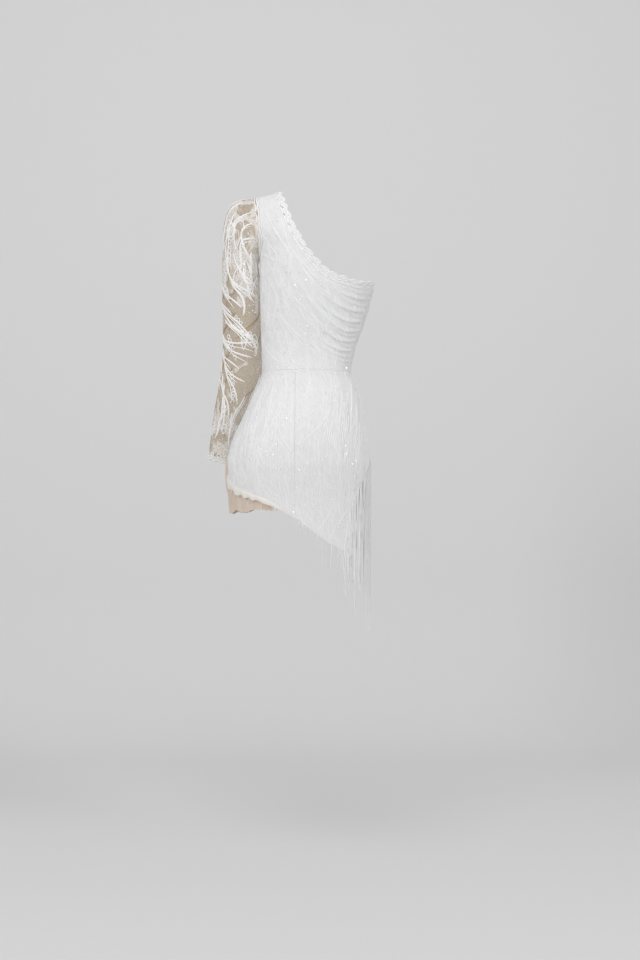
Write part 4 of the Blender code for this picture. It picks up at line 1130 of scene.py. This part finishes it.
# %% Embroidery of the body
BODY_PATCH = 40  # millimetres between motifs
BODY_CORD = 2.4
BODY_RISE = 0.6 * MM


def body_cord(lace, side, chart, width, rise=BODY_RISE, closed=False, margin=4 * MM):
    """Lays a cord on the white cloth. chart runs (round, down) from the shoulder's height."""
    chart = chart * (1, -1)
    inside = clear_of_edges(side, chart, margin)
    if closed and not inside.all():
        return
    if not closed:
        # an open cord keeps the longest stretch that is inside
        changes = np.flatnonzero(np.diff(np.concatenate([[False], inside, [False]]).astype(int)))
        first, last = max(changes.reshape(-1, 2).tolist(), key=lambda run: run[1] - run[0], default=(0, 0))
        chart = chart[first:last]
    if len(chart) > 7:
        lace.cord(*on_body(side, chart, 0.1 * MM), width * MM, rise, closed)


def body_motif(lace, side, random, place):
    """One motif: a sweep of two cords, a drop, a leafy spray or a few rings."""
    heading = random.uniform(-48, -14) if place[1] < -WAIST else random.uniform(-14, 12)

    def lay(curve, width, start=place, turned=0, closed=False):
        body_cord(lace, side, placed(curve, start, heading + turned), width, closed=closed)

    kind = random.integers(0, 10)
    if kind < 6:
        length = random.uniform(80, 170)
        bends = random.uniform(-34, 34, 3)
        lay(stroke(length * MM, bends, 44), BODY_CORD)
        if kind < 3:
            lay(stroke(length * 0.8 * MM, bends * 0.8, 36), 1.6, place + in_mm((-5, 8)), 4)
    elif kind < 8:
        length = random.uniform(30, 50)
        lay(teardrop(length * MM, length * 0.36 * MM, 34), 1.9, closed=True)
    elif kind < 9:
        spray = random.integers(3, 6)
        stem = stroke(spray * 9 * MM, random.uniform(-30, 30, 2), 24)
        lay(stem, 1.5)
        stem = placed(stem, place, heading)
        for i in range(spray):
            lay(teardrop(17 * MM, 5.5 * MM, 20), 1.4, stem[min(23, 3 + 5 * i)], 48 if i % 2 else -48, True)
    else:
        for i in range(random.integers(3, 5)):
            body_cord(lace, side, ring(7 * MM) + place + in_mm((1.5 * i, 8.2 * i)), 1.6, closed=True)


def body_embroidery(name, side, seed):
    random = np.random.default_rng(seed)
    lace = Lace()
    for row in range(21):
        for column in range(-5, 6):
            place = in_mm((BODY_PATCH * (column + 0.5 * (row % 2)), 8 + BODY_PATCH * 0.95 * row))
            body_motif(lace, side, random, place + in_mm(random.uniform(-11, 11, 2)))
    lace.make(name, BODY_CORD_FINISH, "corded_lace")


body_embroidery("embroidery_back", 1, 31)
body_embroidery("embroidery_front", -1, 32)

# %% Loose threads and drawn lines of the skirt
def skirt_threads(name, side, count, seed, over_hip=False):
    """Fine threads caught at the top that run down over the skirt, or long ones over the right hip."""
    random = np.random.default_rng(seed)
    lace = Lace()
    for _ in range(count):
        right = random.triangular(-175, -105, 165) if side > 0 else random.uniform(-170, 120)
        down = random.uniform(412, 610)
        length = random.uniform(60, 190)
        if over_hip:
            right = random.uniform(-196, -128)
            down = random.uniform(500, 610)
            length = random.uniform(110, 210)
        path = stroke(length * MM, random.uniform(-7, 7, 4), 40)
        path = placed(path, in_mm((right, down)), random.uniform(-6, 6))
        body_cord(lace, side, path, random.uniform(0.8, 1.3), 0.8 * MM, margin=1.5 * MM)
    lace.make(name, CORD, "fringe_thread")


skirt_threads("skirt_threads_back", 1, 120, 41)
skirt_threads("skirt_threads_front", -1, 70, 42)
skirt_threads("hip_threads_back", 1, 46, 43, True)

# %% [markdown]
# Sequins and small glass beads are what glints on the dress. They are clear plastic cups of 2 to
# 3 mm, sewn flat in loose groups. Each is a six-sided cup tilted a little its own way, so that only
# a few catch the softboxes at a time, as on the real cloth.

# %% Sequins
SEQUIN, _, _ = new_material("pearl sequin plastic", "#FFFFFF", 0.18, Specular_IOR_Level=1.0,
                            Coat_Weight=1.0, Coat_IOR=2.2, Coat_Roughness=0.28)
SEQUIN_CORNERS = 7
# sewn by their lower right edge, they lean up and to the wearer's left
SEQUIN_LEAN = np.array([0.27, 0.0, 0.10])


def add_sequins(lace, points, normals, random):
    for point, normal in zip(points, normals):
        axis = unit(normal + SEQUIN_LEAN + 0.16 * random.standard_normal(3))
        first = unit(np.cross(axis, [0, 0, 1.0]))
        second = np.cross(axis, first)
        radius = random.uniform(1.3, 1.8) * MM
        centre = point + 1.0 * MM * normal
        rim = [centre + radius * (math.cos(a) * first + math.sin(a) * second)
               for a in np.arange(SEQUIN_CORNERS) * 2 * math.pi / SEQUIN_CORNERS]
        lace.add(rim + [centre - 0.1 * MM * axis], fan(SEQUIN_CORNERS))


def body_sequins():
    random = np.random.default_rng(51)
    lace = Lace()
    for side, groups in ((1, 190), (-1, 120)):
        for _ in range(groups):
            middle = np.array([random.uniform(-170, 165), random.uniform(60, 760)])
            spots = in_mm(middle + random.normal(0, 13, (random.integers(2, 7), 2)) * (0.7, 1.5))
            chart = spots * (1, -1)
            chart = chart[clear_of_edges(side, chart, 5 * MM)]
            if len(chart):
                add_sequins(lace, *on_body(side, chart), random)
    for _ in range(46):
        spot = in_mm((random.uniform(-125, 125), random.uniform(20, 580)))
        spots = spot + in_mm(random.normal(0, 5, (3, 2)))
        add_sequins(lace, *on_sleeve(spots), random)
    lace.make("sequins", SEQUIN, "corded_lace")


body_sequins()

# %% [markdown]
# The hem is cut on the slant and bound with a soft rolled edge, fullest over the left hip, where
# it ripples. Below it hangs the fringe: thin white threads, knotted in at the hem, long and dense
# from the hem's point up to the right hip and only a few wisps along the rest. Each thread leaves
# the hem along the cloth and then hangs straight, with a slight sway of its own.

# %% Rolled hem
def along_hem(node, first, last, count):
    """Distances along a hem between two shares of it, with the points and normals there."""
    edge, normals = hems[node]
    places = distances(edge)
    along = np.linspace(first * places[-1] + 0.5 * MM, last * places[-1] - 0.5 * MM, count)
    return along, *between(along, places, edge, normals)


def rolled_hem(name, node):
    _, path, out = along_hem(node, 0, 1, 200)
    path = path + 0.4 * MM * out
    path[:, 2] += 1.2 * MM
    lace = Lace()
    lace.cord(path, out, 2.6 * MM, 1.2 * MM)
    lace.make(name, HEM_SILK, "white_lace")


def hem_ruffle(name, node, reach):
    """A gathered strip of silk, sewn on along its top, that ripples more towards its lower edge."""
    along, path, out = along_hem(node, 0, reach, 170)
    down = np.linspace(1, 0, 15)[:, None]
    full = np.clip(1.3 * (1 - np.linspace(0, 1, 170)), 0, 1) ** 0.7
    phase = 2 * math.pi * along / (29 * MM) + 1.5 * np.sin(along / (17 * MM))
    lift = 0.7 + full * (2.8 * np.sin(math.pi * down**0.8) + 1.7 * down * (1 + np.sin(phase)))
    drop = 6 - down * (6 + 12 * full) + full * down * 1.9 * np.cos(phase + 0.9)
    outer = path + (lift * MM)[..., None] * out
    outer[..., 2] += drop * MM
    obj = dress(shell(name, outer, outer - RUFFLE_CLOTH * out, HEM_SILK), "white_lace")


def waist_seam():
    """A fine corded seam joins the bodice to the skirts, all round."""
    lace = Lace()
    turn, height = np.linspace(1, -1, 160), np.full(160, WAIST)
    for side in (1, -1):
        lace.cord(form_point(side, turn, height), form_normal(side, turn, height), 2.6 * MM, 0.6 * MM)
    lace.make("waist_seam", LACE_CLOTH, "white_lace")


RUFFLE_CLOTH = 0.9 * MM
HEM_SILK, _, _ = new_material("ivory rolled silk edge", "#EDE9E2", 0.55, Specular_IOR_Level=0.35)
HEM_EDGES = (("back_left", "back_skirt_left"), ("back_right", "back_skirt_right"), ("front", "front_skirt"))
for name, node in HEM_EDGES:
    rolled_hem("hem_edge_" + name, node)
hem_ruffle("hem_ruffle_left", "back_skirt_left", 0.86)
waist_seam()

# %% Fringe
# Columns: x, height where the threads there end
RIGHT_ENDS = ((-0.236, -0.990), (-0.222, -0.986), (-0.211, -0.925), (-0.204, -0.880), (-0.196, -0.930),
              (-0.188, -0.956), (-0.180, -0.925), (-0.172, -0.870), (-0.150, -0.860))
BACK_ENDS = ((-0.165, -0.850), (-0.120, -0.830), (-0.090, -0.780), (-0.030, -0.725), (0.080, -0.690))
FRONT_ENDS = ((-0.230, -0.950), (-0.180, -0.860), (-0.100, -0.735), (0.000, -0.712), (0.080, -0.705))


THREAD, _, _ = new_material("white fringe thread", "#FEFEFD", 0.45, Specular_IOR_Level=0.4, Sheen_Weight=0.3)


def hanging_thread(lace, root, outward, end, gather, random, width):
    """One thread, as a three-sided strand from the hem to its end."""
    steps = 18
    share = np.linspace(0, 1, steps + 1)
    length = root[2] - end
    sway = random.uniform(-1, 1, 4)
    sideways = np.array([-outward[1], outward[0], 0])
    drift = (3.0 * sway[0] * share**1.4 + 1.6 * sway[1] * np.sin(2.2 * math.pi * share)
             + 0.7 * sway[2] * np.sin(6.5 * math.pi * share)) * MM
    out = (0.9 + 1.6 * (1 + sway[3]) * share * (1 - share) - 1.0 * share) * MM
    drift = drift + gather * np.clip(1.6 * share, 0, 1)
    path = root + drift[:, None] * sideways + out[:, None] * outward
    path[:, 2] = root[2] + 3 * MM - (length + 3 * MM) * share
    size = width / 2 * MM * (1 - 0.35 * share)
    corners = [path + size[:, None] * (math.cos(angle) * sideways + math.sin(angle) * outward)
               for angle in (math.pi / 2, math.pi / 2 + 2.1, math.pi / 2 - 2.1)]
    lace.add(np.stack(corners, axis=1), grid_faces(steps + 1, 3, True))


def fringe_piece(part, hem, from_x, to_x, clumps, ends, width, seed):
    """Threads in knotted clumps along a stretch of hem, for one part of the fringe."""
    random = np.random.default_rng(seed)
    edge, normals = hems[hem]
    chosen = (edge[:, 0] >= from_x) & (edge[:, 0] <= to_x)
    edge, normals = edge[chosen], normals[chosen]
    places = distances(edge)
    pitch, fewest, most = clumps
    lace = Lace()
    for knot in np.arange(pitch * MM / 2, places[-1], pitch * MM):
        knot += random.uniform(-0.35, 0.35) * pitch * MM
        shorter = random.choice([0.0, 0.25, 0.55], p=[0.5, 0.3, 0.2])
        for _ in range(random.integers(fewest, most + 1)):
            at = np.clip(knot + random.normal(0, 0.3) * pitch * MM, 0, places[-1])
            root, outward = between(at, places, edge, normals)
            outward = unit(outward * (1, 1, 0))
            share = (1 - shorter) * random.uniform(0.8, 1.0)
            end = root[2] - max(12 * MM, (root[2] - smooth_curve(ends, root[0])) * share)
            gather = (knot - at) * 0.85
            hanging_thread(lace, root, outward, end, gather, random, width * random.uniform(0.8, 1.2))
    lace.make("fringe_threads_" + part, THREAD, "fringe_thread", "fringe_" + part)


POINT_X = float(x_at(HEM_POINT, -0.79))
# Columns: part of the fringe, hem, from x and to x, clumps (pitch in millimetres, fewest and most
# threads), where the threads end, their width in millimetres, seed
FRINGE = (
    ("right_back", "back_skirt_right", -1, POINT_X + 1 * MM, (13, 6, 9), RIGHT_ENDS, 2.5, 61),
    ("back_right", "back_skirt_right", POINT_X, 1, (17, 1, 3), BACK_ENDS, 2.9, 62),
    ("back_left", "back_skirt_left", -1, 0.085, (26, 1, 2), BACK_ENDS, 1.6, 63),
    ("front_right", "front_skirt", -1, -0.155, (14, 6, 9), FRONT_ENDS, 2.2, 64),
    ("front_left", "front_skirt", -0.155, 1, (22, 1, 2), FRONT_ENDS, 1.8, 65),
)
for row in FRINGE:
    fringe_piece(*row)
